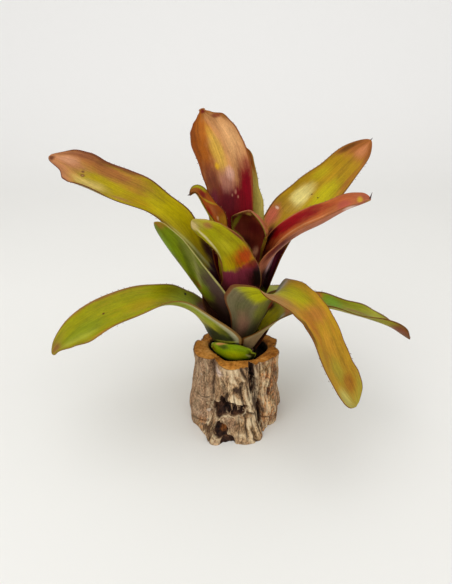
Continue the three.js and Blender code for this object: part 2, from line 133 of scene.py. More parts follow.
# Lowest and outermost first, with the same meanings as the solids they stand for:
#   route: reach, height and swing; half: half-widths at the neck and belly, and where;
#   channel and turn: degrees at the neck and at the tip; lift: rise of the two margins;
#   edges: share of the length, then how much of its half-width each margin keeps there
LEAVES = [
    dict(name="leaf_basal_scale", azimuth=254, wrap=58, sheath=(4, 12), flare=0.6,
         route=[(18.6, 53, 0)],
         half=(13, 11.5, 0.2), channel=(42, 34), taper=3),
    dict(name="leaf_low_back_right", azimuth=50, wrap=48, sheath=(10, 36), flare=0.55,
         route=[(19.5, 56), (26, 59), (38, 58), (54, 52), (70, 43), (83, 34)],
         half=(9, 10, 0.45), channel=(38, 24), wave=(0.7, 3)),
    dict(name="leaf_low_left", azimuth=200, wrap=74, sheath=(14, 50), flare=0.6,
         route=[(19, 58.3), (25, 67), (34, 72.7), (46, 74.8), (64, 71.5), (80, 65), (92, 56.4)],
         half=(9.5, 12, 0.4), channel=(42, 24), turn=(0, -30), wave=(0.7, 3), taper=2.1, lift=(0, 5),
         edges=[(0.22, 1, 1), (0.32, 1.05, 0.86), (0.4, 1.14, 0.92), (0.5, 0.98, 1.12), (0.64, 1, 1.3),
                (0.78, 1, 1.2), (0.9, 1.02, 0.76), (0.97, 1.1, 0.5)]),
    dict(name="leaf_low_right", azimuth=356, wrap=82, sheath=(14, 46), flare=0.55,
         route=[(18, 57.5), (24, 63.8), (34, 66.6), (46, 66.3), (62, 61.9), (78, 56.1), (89.2, 49)],
         half=(9.5, 10.5, 0.4), channel=(35, 20), turn=(-4, -24), wave=(0.6, 3),
         edges=[(0.4, 1, 1.1), (0.5, 0.95, 1.26), (0.62, 0.9, 1.15), (0.78, 1.2, 1.5), (0.9, 1.35, 1.75)]),
    dict(name="leaf_low_back", azimuth=108, wrap=74, sheath=(12, 44), flare=0.45,
         route=[(18, 64), (25, 72), (36, 77), (52, 78), (68, 72), (80, 62)],
         half=(9.5, 11, 0.45), channel=(38, 24), wave=(0.8, 3)),
    dict(name="leaf_front_drooping", azimuth=314, wrap=62, sheath=(20, 40), flare=0.4,
         route=[(16, 66), (20, 76), (26, 81.6), (34, 82.8), (43, 80.2), (50, 74.6, -1), (57, 66.6, -3),
                (64.5, 56, -2.8), (72.4, 44.4, -0.8)],
         half=(9, 11, 0.5), channel=(10, 30), turn=(6, -8), wave=(0.6, 3), lift=(16, 0), taper=5,
         edges=[(0.08, 1, 0.95), (0.16, 0.95, 0.84), (0.24, 1.05, 0.95), (0.31, 1.3, 1.55),
                (0.42, 1.55, 1.15), (0.5, 1.5, 0.98), (0.56, 1.24, 0.86), (0.62, 0.92, 0.82),
                (0.7, 0.78, 0.86), (0.82, 1.3, 0.96), (0.91, 1.35, 1.1), (0.96, 1.25, 1.15)]),
    dict(name="leaf_left_upright", azimuth=201, wrap=70, sheath=(22, 56),
         route=[(16.3, 70), (23.9, 83), (32.1, 98), (40.2, 114)],
         half=(11, 10, 0.3), channel=(76, 50), turn=(14, 36), wave=(0.3, 2),
         edges=[(0.3, 1, 1), (0.5, 1.05, 1.04), (0.65, 1.06, 0.98), (0.82, 1.08, 0.93),
                (0.93, 1.05, 0.85)]),
    dict(name="leaf_high_right", azimuth=36, wrap=64, sheath=(16, 42),
         route=[(14.5, 76), (20, 90), (32, 103), (52, 117), (72, 129), (91, 140.5)],
         half=(10.5, 12, 0.4), channel=(40, 24), turn=(10, 38), wave=(0.8, 3), taper=2.2,
         edges=[(0.12, 1, 1), (0.24, 0.79, 1), (0.4, 0.72, 1.12), (0.5, 0.88, 1.18), (0.62, 1.12, 1.06),
                (0.75, 1.1, 0.93), (0.9, 1.1, 1.1)]),
    dict(name="leaf_high_left", azimuth=162, wrap=66, sheath=(16, 44),
         route=[(17, 83), (25, 96), (37, 108.3), (54, 117.5), (78, 126.4), (102, 135.2)],
         half=(9.5, 12, 0.55), channel=(45, 24), turn=(0, -32), wave=(0.9, 4), taper=2.4,
         edges=[(0.36, 1, 1), (0.44, 1.15, 0.98), (0.53, 1.05, 1.02), (0.62, 1.12, 1.38),
                (0.7, 1.08, 1.74), (0.79, 1.03, 1.78), (0.87, 1.2, 1.25), (0.93, 1.3, 0.72)]),
    dict(name="leaf_front_short", azimuth=268, wrap=48, sheath=(20, 44),
         route=[(15.8, 86), (18.6, 95, -6), (21.6, 103, -15), (26, 110.5, -26), (32, 117.6, -38)],
         half=(10, 10.2, 0.15), channel=(50, 40), wave=(0.4, 2), taper=2.6,
         edges=[(0.3, 1, 1), (0.45, 0.66, 1), (0.7, 0.58, 0.93), (0.85, 0.68, 0.85), (0.93, 0.85, 0.8),
                (0.975, 1.15, 0.75)]),
    dict(name="leaf_right_channelled", azimuth=346, wrap=48, sheath=(24, 46),
         route=[(14, 86), (17, 95), (22, 101.5), (29, 107.5), (38, 113), (48, 120), (57.6, 123.9)],
         half=(12, 12, 0.4), channel=(62, 44), turn=(10, 8), wave=(0.4, 2), taper=4.5,
         edges=[(0.2, 1, 1), (0.34, 0.94, 1), (0.5, 0.96, 1), (0.7, 1, 1), (0.84, 0.95, 0.86),
                (0.94, 0.98, 0.84)]),
    dict(name="leaf_behind_tall", azimuth=84, wrap=54, sheath=(20, 42),
         route=[(14.5, 90), (18.5, 108), (25.2, 126), (31, 139.5)],
         half=(9, 9.5, 0.45), channel=(40, 26), wave=(0.4, 2),
         edges=[(0.2, 1, 1), (0.36, 0.92, 1), (0.5, 1.4, 1), (0.65, 1.25, 1), (0.78, 0.9, 1),
                (0.9, 0.8, 1)]),
    dict(name="leaf_tall_back", azimuth=106, wrap=60, sheath=(20, 44),
         route=[(12.8, 90), (15, 112), (17.5, 126, 1), (21, 135, 4), (27, 143.5, 8), (33.5, 150.3, 11),
                (37.2, 157.6, 14)],
         half=(12, 13.5, 0.5), channel=(40, 24), wave=(0.6, 3), taper=3.4,
         edges=[(0.3, 1, 1), (0.45, 0.92, 1), (0.58, 0.88, 0.94), (0.68, 0.9, 1.16), (0.8, 0.93, 1.19),
                (0.88, 1, 1.1), (0.94, 1.07, 0.95), (0.972, 0.68, 0.66), (0.988, 0.45, 0.45)]),
    dict(name="leaf_small_curled", azimuth=174, wrap=38, sheath=(8, 30),
         route=[(9.5, 88), (10, 99), (12.6, 110.5), (16.4, 118), (20, 123.4), (23.6, 121.8)],
         half=(8, 7.6, 0.3), channel=(60, 60), turn=(-10, -20), taper=3.4,
         edges=[(0.6, 1, 1), (0.7, 1.1, 1.1), (0.8, 0.85, 0.85)]),
    dict(name="leaf_heart", azimuth=52, wrap=68, sheath=(16, 36),
         route=[(10, 88), (11.8, 100), (11.5, 108.5), (8, 113.5)],
         half=(15, 16.5, 0.4), channel=(74, 56), taper=7,
         edges=[(0.5, 1, 0.95), (0.7, 1.25, 0.7), (0.92, 1.35, 0.72)]),
]


# ---- Small helpers ----


def mix(a, b, t):
    return a + (b - a) * t


def smoothstep(low, high, x):
    t = np.clip((x - low) / (high - low), 0, 1)
    return t * t * (3 - 2 * t)


def turn_between(a, b):
    """The signed turn from azimuth a to azimuth b, from -180 to 180 degrees."""
    return (b - a + 180) % 360 - 180


def hump(distance, width):
    """1 in the middle and 0 from one width away."""
    return 1 - smoothstep(0, 1, np.abs(distance) / width)


def polar(reach, azimuth, height):
    a = np.radians(azimuth)
    return np.stack(np.broadcast_arrays(reach * np.cos(a), reach * np.sin(a), height), axis=-1)


def unit(v):
    return v / np.linalg.norm(v, axis=-1, keepdims=True)


def srgb(code):
    """A linear colour from a hexadecimal one."""
    parts = [((code >> shift) & 255) / 255 for shift in (16, 8, 0)]
    return (*[p / 12.92 if p < 0.04045 else ((p + 0.055) / 1.055) ** 2.4 for p in parts], 1.0)


def grain(x, y, seed, wrap=64):
    """Smooth seeded noise from -1 to 1 over a plane, repeating every wrap cells along x."""
    table = np.random.default_rng(seed).uniform(-1, 1, (wrap, 64))
    x, y = np.broadcast_arrays(x, y)
    i, j = np.floor(x).astype(int), np.floor(y).astype(int)
    fx, fy = smoothstep(0, 1, x - i), smoothstep(0, 1, y - j)
    near = mix(table[i % wrap, j % 64], table[(i + 1) % wrap, j % 64], fx)
    far = mix(table[i % wrap, (j + 1) % 64], table[(i + 1) % wrap, (j + 1) % 64], fx)
    return mix(near, far, fy)


def layered(azimuth, height, cells, tall, seed, layers=3):
    """Noise round the log, each layer twice as fine and half as strong as the last."""
    total = 0
    for k in range(layers):
        around = azimuth / 360 * cells * 2**k
        total = total + grain(around, height / tall * 2**k, seed + k, cells * 2**k) / 2**k
    return total


# ---- Node trees ----

COLOUR, VALUE, VECTOR = "NodeSocketColor", "NodeSocketFloat", "NodeSocketVector"
SHAPE, FINISH = "NodeSocketGeometry", "NodeSocketMaterial"
KINDS = {float: VALUE, int: "NodeSocketInt", tuple: COLOUR}


class Wiring:
    """A node tree being wired. Each call adds one node and gives back one of its outputs."""

    def __init__(self, tree):
        self.tree = tree
        self.family = tree.bl_idname.replace("Tree", "")

    def add(self, kind, inputs=None, output=0, **fields):
        """Adds a node. The kinds of the tree's own family go without the family's name."""
        node = self.tree.nodes.new(kind if "Node" in kind else self.family + kind)
        for name, value in fields.items():
            setattr(node, name, value)
        for key, value in (inputs or {}).items():
            self.plug(node.inputs[key], value)
        return node if output is None else node.outputs[output]

    def plug(self, socket, value):
        """Links or sets a socket. A colour is set by its code."""
        if isinstance(value, bpy.types.NodeSocket):
            self.tree.links.new(value, socket)
        else:
            socket.default_value = srgb(value) if socket.type == "RGBA" else value

    def math(self, operation, a, b=0.0, c=0.0):
        return self.add("ShaderNodeMath", {0: a, 1: b, 2: c}, operation=operation)

    times = partialmethod(math, "MULTIPLY")
    plus = partialmethod(math, "ADD")
    minus = partialmethod(math, "SUBTRACT")
    over = partialmethod(math, "DIVIDE")
    above = partialmethod(math, "GREATER_THAN")
    # A straight line: x, its slope and where it starts.
    line = partialmethod(math, "MULTIPLY_ADD")

    def vector(self, operation, a, b=(0, 0, 0)):
        return self.add("ShaderNodeVectorMath", {0: a, 1: b}, operation=operation)

    sum = partialmethod(vector, "ADD")

    def scaled(self, v, factor):
        return self.add("ShaderNodeVectorMath", {0: v, 3: factor}, operation="SCALE")

    def combine(self, x, y, z):
        return self.add("ShaderNodeCombineXYZ", {0: x, 1: y, 2: z})

    def smooth(self, low, high, x):
        inputs = {0: x, 1: low, 2: high, 3: 0.0, 4: 1.0}
        return self.add("ShaderNodeMapRange", inputs, interpolation_type="SMOOTHSTEP")

    def blend(self, factor, a, b):
        return self.add("ShaderNodeMix", {0: factor, 2: a, 3: b})

    def tint(self, factor, a, b, how="MIX"):
        inputs = {0: factor, 6: a, 7: b}
        return self.add("ShaderNodeMix", inputs, 2, data_type="RGBA", blend_type=how)

    def place(self):
        return self.add("TexCoord", output=3)

    def noise(self, place, scale, detail=3.0, roughness=0.55):
        inputs = {"Vector": place, "Scale": scale, "Detail": detail, "Roughness": roughness}
        return self.add("TexNoise", inputs)

    def mask(self, name):
        return self.add("Attribute", output=2, attribute_name=name)

    def field(self, name, kind="FLOAT"):
        return self.add("InputNamedAttribute", {"Name": name}, data_type=kind)

    def group(self, tree, inputs=None, output=0):
        return self.add("Group", inputs, output, node_tree=tree)


def new_tree(name, inputs, outputs=None, kind="GeometryNodeTree"):
    """The wiring of a new node group with named sockets, its inputs and its output node.

    An input is told by its default value, or by its kind where it has none.
    """
    tree = bpy.data.node_groups.new(name, kind)
    for title, value in inputs.items():
        socket_type = KINDS.get(type(value), value)
        socket = tree.interface.new_socket(name=title, in_out="INPUT", socket_type=socket_type)
        if socket_type != value:
            socket.default_value = value
    for title, socket_type in (outputs or {"Shape": SHAPE}).items():
        tree.interface.new_socket(name=title, in_out="OUTPUT", socket_type=socket_type)
    given = tree.nodes.new("NodeGroupInput").outputs
    return Wiring(tree), given, tree.nodes.new("NodeGroupOutput").inputs


def new_mesh(name, points, edges=(), faces=(), **values):
    """A mesh with its points in metres, and numbers or vectors of each name at every point."""
    mesh = bpy.data.meshes.new(name)
    mesh.from_pydata(np.asarray(points).tolist(), edges, faces)
    for key, numbers in values.items():
        numbers = np.asarray(numbers, dtype=np.float32)
        vectors = numbers.ndim == 2
        attribute = mesh.attributes.new(key, "FLOAT_VECTOR" if vectors else "FLOAT", "POINT")
        attribute.data.foreach_set("vector" if vectors else "value", numbers.ravel())
    return mesh


def placed(name, data):
    """A new object of the scene."""
    piece = bpy.data.objects.new(name, data)
    bpy.context.collection.objects.link(piece)
    return piece


def grown(name, mesh, tree, finish, **values):
    """Runs a geometry tree on a mesh and keeps what it makes as a plain mesh."""
    host = placed(name + "_host", mesh)
    modifier = host.modifiers.new("grow", "NODES")
    modifier.node_group = tree
    values = {"Finish": finish, **{titled(key): value for key, value in values.items()}}
    for item in tree.interface.items_tree:
        if item.in_out == "INPUT" and item.name in values:
            modifier[item.identifier] = values[item.name]
    graph = bpy.context.evaluated_depsgraph_get()
    made = bpy.data.meshes.new_from_object(
        host.evaluated_get(graph), preserve_all_data_layers=True, depsgraph=graph
    )
    bpy.data.objects.remove(host)
    made.name = name
    return placed(name, made)


SIDE_SPARE = (0.01, 0.01, 0)


def keep_inside(piece):
    """Trims a piece to the box that the whole plant fills, a hair further in at the sides."""
    points = np.empty(len(piece.data.vertices) * 3)
    piece.data.vertices.foreach_get("co", points)
    low, high = (np.array(corner) for corner in cad_box)
    spare = np.array(SIDE_SPARE) * MM
    points = np.clip(points.reshape(-1, 3), low + spare, high - spare)
    piece.data.vertices.foreach_set("co", points.ravel())
    piece.data.update()


def settle(piece, slot, *nodes):
    """Puts a finished piece on the plant's one body."""
    keep_inside(piece)
    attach(piece, "root")
    if nodes:
        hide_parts(*nodes)


# ---- Shared effects in the finishes ----


def leaf_pattern(w, leaf, lengthwise, crosswise, detail=3.0, roughness=0.55):
    """Noise from -0.5 to 0.5 laid along a leaf, its own for every leaf number."""
    along, side = w.mask("along"), w.mask("side")
    place = w.combine(w.times(along, lengthwise), w.times(side, crosswise), leaf)
    return w.minus(w.noise(place, 1.0, detail, roughness), 0.5)


def make_leaf_tissue():
    """Colour, gloss and fine relief of a leaf, from its base to its tip on both its faces."""
    w, given, result = new_tree("leaf_tissue", {
        "Base": srgb(0x4A1424), "Middle": srgb(0x98901A), "Tip": srgb(0xA87838),
        "Mottle Tint": srgb(0x86601C), "Under": srgb(0x76842A), "Under Base": srgb(0x4C3038),
        "Scurf Tint": srgb(0xA09884), "Base End": 0.35, "Base Blend": 0.06, "Tip Start": 0.86,
        "Tip Blend": 0.07, "Mottle": 0.4, "Scurf": 0.15, "Leaf": 0.0,
    }, {"Color": COLOUR, "Roughness": VALUE, "Height": VALUE}, "ShaderNodeTree")
    along, underside = w.mask("along"), w.mask("underside")
    edge = w.math("ABSOLUTE", w.mask("side"))

    def pattern(*scales):
        return leaf_pattern(w, given["Leaf"], *scales)

    def between(middle, blend, x):
        return w.smooth(w.minus(middle, blend), w.plus(middle, blend), x)

    cloud, streak = pattern(7.0, 2.2, 4.0), pattern(4.0, 17.0, 4.0, 0.65)
    vein = pattern(6.0, 52.0, 2.0)
    shifted = w.line(cloud, 0.16, w.line(streak, 0.05, along))
    based = between(given["Base End"], given["Base Blend"], shifted)
    rounded = w.line(w.math("POWER", edge, 3.0), 0.06, shifted)
    tipped = between(given["Tip Start"], given["Tip Blend"], rounded)
    upper = w.tint(tipped, given["Middle"], given["Tip"])
    under = w.tint(tipped, given["Under"], given["Tip"])
    mottled = w.plus(w.times(pattern(11.0, 3.4, 5.0, 0.62), 0.9), streak)
    mottled = w.times(w.smooth(-0.02, 0.26, mottled), given["Mottle"])
    upper = w.tint(based, given["Base"], w.tint(mottled, upper, given["Mottle Tint"]))
    under = w.tint(based, given["Under Base"], under)
    band = w.smooth(-0.06, 0.2, pattern(30.0, 2.5, 5.0, 0.7))
    dusting = w.times(w.times(band, w.smooth(-0.1, 0.12, streak)), given["Scurf"])
    under = w.tint(dusting, under, given["Scurf Tint"])
    w.plug(result["Color"], w.tint(underside, upper, under))
    gloss = w.line(cloud, 0.25, w.blend(underside, 0.4, 0.5))
    w.plug(result["Roughness"], w.line(dusting, 0.3, gloss))
    w.plug(result["Height"], w.line(dusting, 0.5, vein))
    return w.tree


def make_leaf_patch():
    """A ragged patch of another colour on one face of a leaf, brushed along its length."""
    w, given, result = new_tree("leaf_patch", {
        "Color": srgb(0x98961E), "Patch": srgb(0xA03020), "Along": 0.5, "Side": 0.0,
        "Along Reach": 0.1, "Side Reach": 0.5, "Slant": 0.0, "Underside": 0.0, "Strength": 1.0,
    }, {"Color": COLOUR}, "ShaderNodeTree")
    along, side = w.mask("along"), w.mask("side")
    ahead = w.minus(along, given["Along"])
    u = w.over(ahead, given["Along Reach"])
    v = w.minus(w.minus(side, given["Side"]), w.times(ahead, given["Slant"]))
    v = w.over(v, given["Side Reach"])
    place = w.combine(w.times(along, 14.0), w.times(side, 4.5), given["Along"])
    uneven = w.minus(w.noise(place, 1.0, 5.0, 0.65), 0.5)
    distance = w.math("SQRT", w.plus(w.times(u, u), w.times(v, v)))
    inside = w.minus(1.0, w.smooth(0.3, 1.35, w.plus(uneven, distance)))
    face = w.math("ABSOLUTE", w.minus(w.mask("underside"), given["Underside"]))
    share = w.times(w.times(inside, w.minus(1.0, face)), given["Strength"])
    w.plug(result["Color"], w.tint(share, given["Color"], given["Patch"]))
    return w.tree


def make_leaf_veins():
    """Fine veins, specks and the coloured margins, drawn over everything else on a leaf."""
    w, given, result = new_tree("leaf_veins", {
        "Color": srgb(0x98961E), "Margin": srgb(0x6A3A20), "Margin Width": 0.07,
        "Contrast": 0.95, "Leaf": 0.0,
    }, {"Color": COLOUR}, "ShaderNodeTree")
    leaf, width = given["Leaf"], given["Margin Width"]
    cloud = leaf_pattern(w, leaf, 9.0, 2.6, 5.0, 0.6)
    streak = leaf_pattern(w, leaf, 4.0, 17.0, 4.0, 0.65)
    vein = leaf_pattern(w, leaf, 5.0, 60.0, 2.0)
    speck = leaf_pattern(w, leaf, 120.0, 34.0, 2.0)
    near_edge = w.line(streak, 0.09, w.math("ABSOLUTE", w.mask("side")))
    rim = w.smooth(w.minus(1.0, width), w.line(width, -0.55, 1.0), near_edge)
    colour = w.tint(w.times(rim, 0.92), given["Color"], given["Margin"])
    shade = w.line(vein, 0.55, w.times(streak, 0.85))
    shade = w.line(speck, 0.6, w.line(cloud, 0.95, shade))
    shade = w.line(shade, given["Contrast"], 1.0)
    colour = w.tint(1.0, colour, w.combine(shade, shade, shade), "MULTIPLY")
    # The darker parts are also a little redder.
    warm = w.times(w.smooth(0.02, 0.3, w.times(cloud, -1.0)), 0.3)
    w.plug(result["Color"], w.tint(warm, colour, w.tint(0.5, colour, 0x7A3A14)))
    return w.tree


def make_wood_grain():
    """Fibres and pits that run up a piece of wood or bark."""
    w, given, result = new_tree("wood_grain", {
        "Dark": srgb(0x3A2A1E), "Middle": srgb(0x7A5C42), "Light": srgb(0xC0A888),
        "Fibre Scale": 900.0, "Stretch": 0.16,
    }, {"Color": COLOUR, "Height": VALUE}, "ShaderNodeTree")
    place = w.place()
    squeezed = w.vector("MULTIPLY", place, w.combine(1.0, 1.0, given["Stretch"]))
    fibre = w.noise(squeezed, given["Fibre Scale"], 5.0, 0.62)
    blotch = w.noise(place, w.times(given["Fibre Scale"], 0.22), 4.0, 0.6)
    dark = w.smooth(0.36, 0.56, w.blend(0.45, fibre, blotch))
    light = w.smooth(0.5, 0.68, w.blend(0.6, fibre, blotch))
    colour = w.tint(dark, given["Dark"], given["Middle"])
    w.plug(result["Color"], w.tint(light, colour, given["Light"]))
    w.plug(result["Height"], w.blend(0.3, fibre, blotch))
    return w.tree


def wood(w, dark, middle, light, scale=900.0, stretch=0.16):
    """The colour and the height of one kind of wood."""
    grained = w.group(WOOD_GRAIN, {
        "Dark": dark, "Middle": middle, "Light": light,
        "Fibre Scale": scale, "Stretch": stretch,
    }, None)
    return grained.outputs


LEAF_TISSUE = make_leaf_tissue()
LEAF_PATCH = make_leaf_patch()
LEAF_VEINS = make_leaf_veins()
WOOD_GRAIN = make_wood_grain()


def titled(key):
    """The name of a socket, from a plain key."""
    return key.replace("_", " ").title().replace("Ior", "IOR")


def new_finish(name, **fixed):
    """A material with one Principled shader, whose fixed values are set on its own sockets."""
    material = bpy.data.materials.new(name)
    material.use_nodes = True
    shader = material.node_tree.nodes["Principled BSDF"].inputs
    for key, value in fixed.items():
        shader[titled(key)].default_value = value
    return material, Wiring(material.node_tree), shader


def relief(w, shader, height, strength, depth):
    inputs = {"Height": height, "Strength": strength, "Distance": depth}
    w.plug(shader["Normal"], w.add("Bump", inputs))


# ---- Leaf forms ----


def stem_radius(height):
    below = smoothstep(STEM_FOOT, STEM_COLLAR, height)
    above = (height - STEM_COLLAR) / (STEM_TIP - STEM_COLLAR)
    if height < STEM_COLLAR:
        return mix(STEM_FOOT_RADIUS, STEM_COLLAR_RADIUS, below)
    return mix(STEM_COLLAR_RADIUS, STEM_TIP_RADIUS, above)


def leaf_line(leaf, rank):
    """Points close together along the middle of a leaf, and the way ahead at each."""
    foot = STEM_COLLAR + 1 + rank * ATTACH_STEP
    reach = stem_radius(foot) + FIT_GAP + SHEATH_THICKNESS / 2
    flare = leaf.get("flare", SHEATH_FLARE)
    knots = [(reach, foot), (reach + flare * SHEATH_RISE, foot + SHEATH_RISE)]
    knots = [polar(r, leaf["azimuth"], z) for r, z in knots]
    for stop in leaf["route"]:
        swing = stop[2] if len(stop) > 2 else 0
        knots.append(polar(stop[0], leaf["azimuth"] + swing, stop[1]))
    knots = np.array([2 * knots[0] - knots[1], *knots, 2 * knots[-1] - knots[-2]])
    t = np.linspace(0, 1, SPAN_POINTS)[:, None]
    points, ahead = [], []
    for a, b, c, d in zip(knots, knots[1:], knots[2:], knots[3:]):
        start, end = (c - a) / 2, (d - b) / 2
        cube, square = 2 * b - 2 * c + start + end, -3 * b + 3 * c - 2 * start - end
        points.append(((cube * t + square) * t + start) * t + b)
        ahead.append((3 * cube * t + 2 * square) * t + start)
    return np.concatenate(points), unit(np.concatenate(ahead))


def blade_half(leaf, t):
    """Half-width of the blade, t running from the neck (0) to the tip (1)."""
    neck, belly, widest = leaf["half"]
    towards_tip = np.clip((t - widest) / (1 - widest), 0, 1)
    full = (1 - towards_tip ** leaf.get("taper", ROUND_TIP)) ** TIP_CURVE
    spine = SPINE_HALF + SPINE_FLANK * (1 - towards_tip)
    narrowed = np.maximum(belly * full, spine)
    return np.where(t <= widest, mix(neck, belly, smoothstep(0, widest, t)), narrowed)


def edge_shares(leaf, u, side):
    """How much of its half-width a margin keeps along the leaf: side 1 is low and 2 high."""
    rows = np.array([(0, 1, 1), *leaf.get("edges", []), (1, 1, 1)], dtype=float)
    k = np.clip(np.searchsorted(rows[:, 0], u, "right") - 1, 0, len(rows) - 2)
    return mix(rows[k, side], rows[k + 1, side], smoothstep(rows[k, 0], rows[k + 1, 0], u))


def midrib_values(leaf, rank):
    """What each station along a leaf needs to know to place its section, in metres."""
    points, ahead = leaf_line(leaf, rank)
    steps = np.linalg.norm(np.diff(points, axis=0), axis=1)
    travelled = np.concatenate([[0], np.cumsum(steps)])
    length = travelled[-1]
    u = 1 - (1 - np.linspace(0, 1, STATIONS)) ** TIP_CROWDING
    along = u * length
    centre = np.stack([np.interp(along, travelled, points[:, k]) for k in range(3)], axis=1)
    ahead = unit(np.stack([np.interp(along, travelled, ahead[:, k]) for k in range(3)], axis=1))
    opens, ends = leaf["sheath"]
    opened = smoothstep(opens, ends, along)
    t = np.clip((along - ends * NECK) / (length - ends * NECK), 0, 1)
    reach = np.hypot(centre[:, 0], centre[:, 1])
    clasp = np.minimum(reach * math.radians(leaf["wrap"]), SHEATH_HALF)
    half = mix(clasp, blade_half(leaf, t), opened)
    channel = np.radians(mix(*leaf["channel"], t))
    bend = mix(half / reach, channel, opened)
    turn = (np.radians(mix(*leaf.get("turn", (0, 0)), t)) * opened**2)[:, None]
    sideways = polar(1, leaf["azimuth"] + 90, 0)
    outwards = polar(1, leaf["azimuth"], 0)
    flat = unit(sideways - ahead * (ahead @ sideways)[:, None])
    across = flat * np.cos(turn) + np.cross(ahead, flat) * np.sin(turn)
    over = np.cross(ahead, across)
    inner = unit(mix(-outwards, over, opened[:, None]))
    shoulder = hump(along - mix(opens, ends, SHOULDER), ends - opens)
    lift = leaf.get("lift", (0, 0))
    body = mix(SHEATH_THICKNESS, BLADE_THICKNESS, smoothstep(0.2, 0.5, u))
    closed_ends = np.ones(STATIONS)
    closed_ends[[0, -1]] = 0
    half[-1] = TIP_HALF
    return {
        "position": centre * MM, "ahead": ahead, "across": across, "inner": inner,
        "half": half * MM, "bend": bend,
        "low_edge": edge_shares(leaf, u, 1), "high_edge": edge_shares(leaf, u, 2),
        "low_lift": lift[0] * shoulder * MM, "high_lift": lift[1] * shoulder * MM,
        "body": body * closed_ends * MM, "rim": MARGIN_THICKNESS * closed_ends * MM,
        "travel": u, "opened": opened * smoothstep(0, 0.06, 1 - u),
    }


def midrib_mesh(name, leaves):
    """Polylines up the middles of leaves, carrying each station's values."""
    tables = [midrib_values(leaf, rank) for rank, leaf in leaves]
    edges = [(k * STATIONS + i, k * STATIONS + i + 1)
             for k in range(len(tables)) for i in range(STATIONS - 1)]
    joined = {key: np.concatenate([table[key] for table in tables]) for key in tables[0]}
    return new_mesh(name, joined.pop("position"), edges, **joined)


VECTOR_FIELDS = ("ahead", "across", "inner")
FIELDS = (*VECTOR_FIELDS, "half", "bend", "low_edge", "high_edge", "low_lift", "high_lift", "body",
          "rim", "travel", "opened")


def field_kind(name):
    return "FLOAT_VECTOR" if name in ("Place", *VECTOR_FIELDS) else "FLOAT"


def read_fields(w):
    """Every station value as a field, and the station's own place."""
    return {"Place": w.add("InputPosition"),
            **{name: w.field(name, field_kind(name)) for name in FIELDS}}


def make_blade_section():
    """A place on a leaf's curved section, and the way its upper face looks there."""
    inputs = {"Side": 0.0, "Wave Height": 0.0, "Wave Count": 3.0, "Place": VECTOR}
    inputs.update({name: VECTOR if name in VECTOR_FIELDS else VALUE for name in FIELDS})
    w, given, result = new_tree("blade_section", inputs,
                                {"Point": VECTOR, "Facing": VECTOR, "Outward": VECTOR})
    side, across, inner = given["Side"], given["across"], given["inner"]
    high = w.above(side, 0.0)
    kept = w.blend(high, given["low_edge"], given["high_edge"])
    angle = w.times(w.times(side, kept), given["bend"])
    sine, cosine = w.math("SINE", angle), w.math("COSINE", angle)
    radius = w.over(given["half"], given["bend"])
    point = w.sum(given["Place"], w.scaled(across, w.times(radius, sine)))
    point = w.sum(point, w.scaled(inner, w.times(radius, w.minus(1.0, cosine))))
    facing = w.vector("SUBTRACT", w.scaled(inner, cosine), w.scaled(across, sine))
    outward = w.sum(w.scaled(across, cosine), w.scaled(inner, sine))
    squared = w.math("POWER", w.math("ABSOLUTE", side), 2.0)
    # A raised margin leans out as it rises.
    away = w.vector("NORMALIZE", w.vector("MULTIPLY", point, (1, 1, 0)))
    lean = w.sum(w.scaled(away, LIFT_FLARE), (0, 0, 1))
    lift = w.blend(high, given["low_lift"], given["high_lift"])
    point = w.sum(point, w.scaled(lean, w.times(lift, squared)))
    turns = w.times(given["travel"], w.times(given["Wave Count"], math.tau))
    wave = w.math("SINE", w.line(side, WAVE_SLANT, turns))
    strength = w.times(w.times(wave, squared), given["opened"])
    waved = w.scaled(facing, w.times(strength, given["Wave Height"]))
    w.plug(result["Point"], w.sum(point, waved))
    w.plug(result["Facing"], facing)
    w.plug(result["Outward"], outward)
    return w.tree


def finish_tree(w, given, result, shape):
    """Makes the copies in a shape real, gives it its finish and closes its tree."""
    shape = w.add("RealizeInstances", {"Geometry": shape})
    inputs = {"Geometry": shape, "Material": given["Finish"]}
    w.plug(result["Shape"], w.add("SetMaterial", inputs))
    return w.tree


def stand(w, places, piece, scale, **more):
    """Copies of a piece at given places, each upright along its place's own heading."""
    heading = {"Vector": w.field("heading", "FLOAT_VECTOR")}
    return w.add("InstanceOnPoints", {
        "Points": places, "Instance": piece, "Scale": scale,
        "Rotation": w.add("FunctionNodeAlignRotationToVector", heading, axis="Z"), **more,
    })


def keep(w, shape, name, value, domain="POINT", data_type="FLOAT"):
    inputs = {"Geometry": shape, "Name": name, "Value": value}
    return w.add("StoreNamedAttribute", inputs, domain=domain, data_type=data_type)


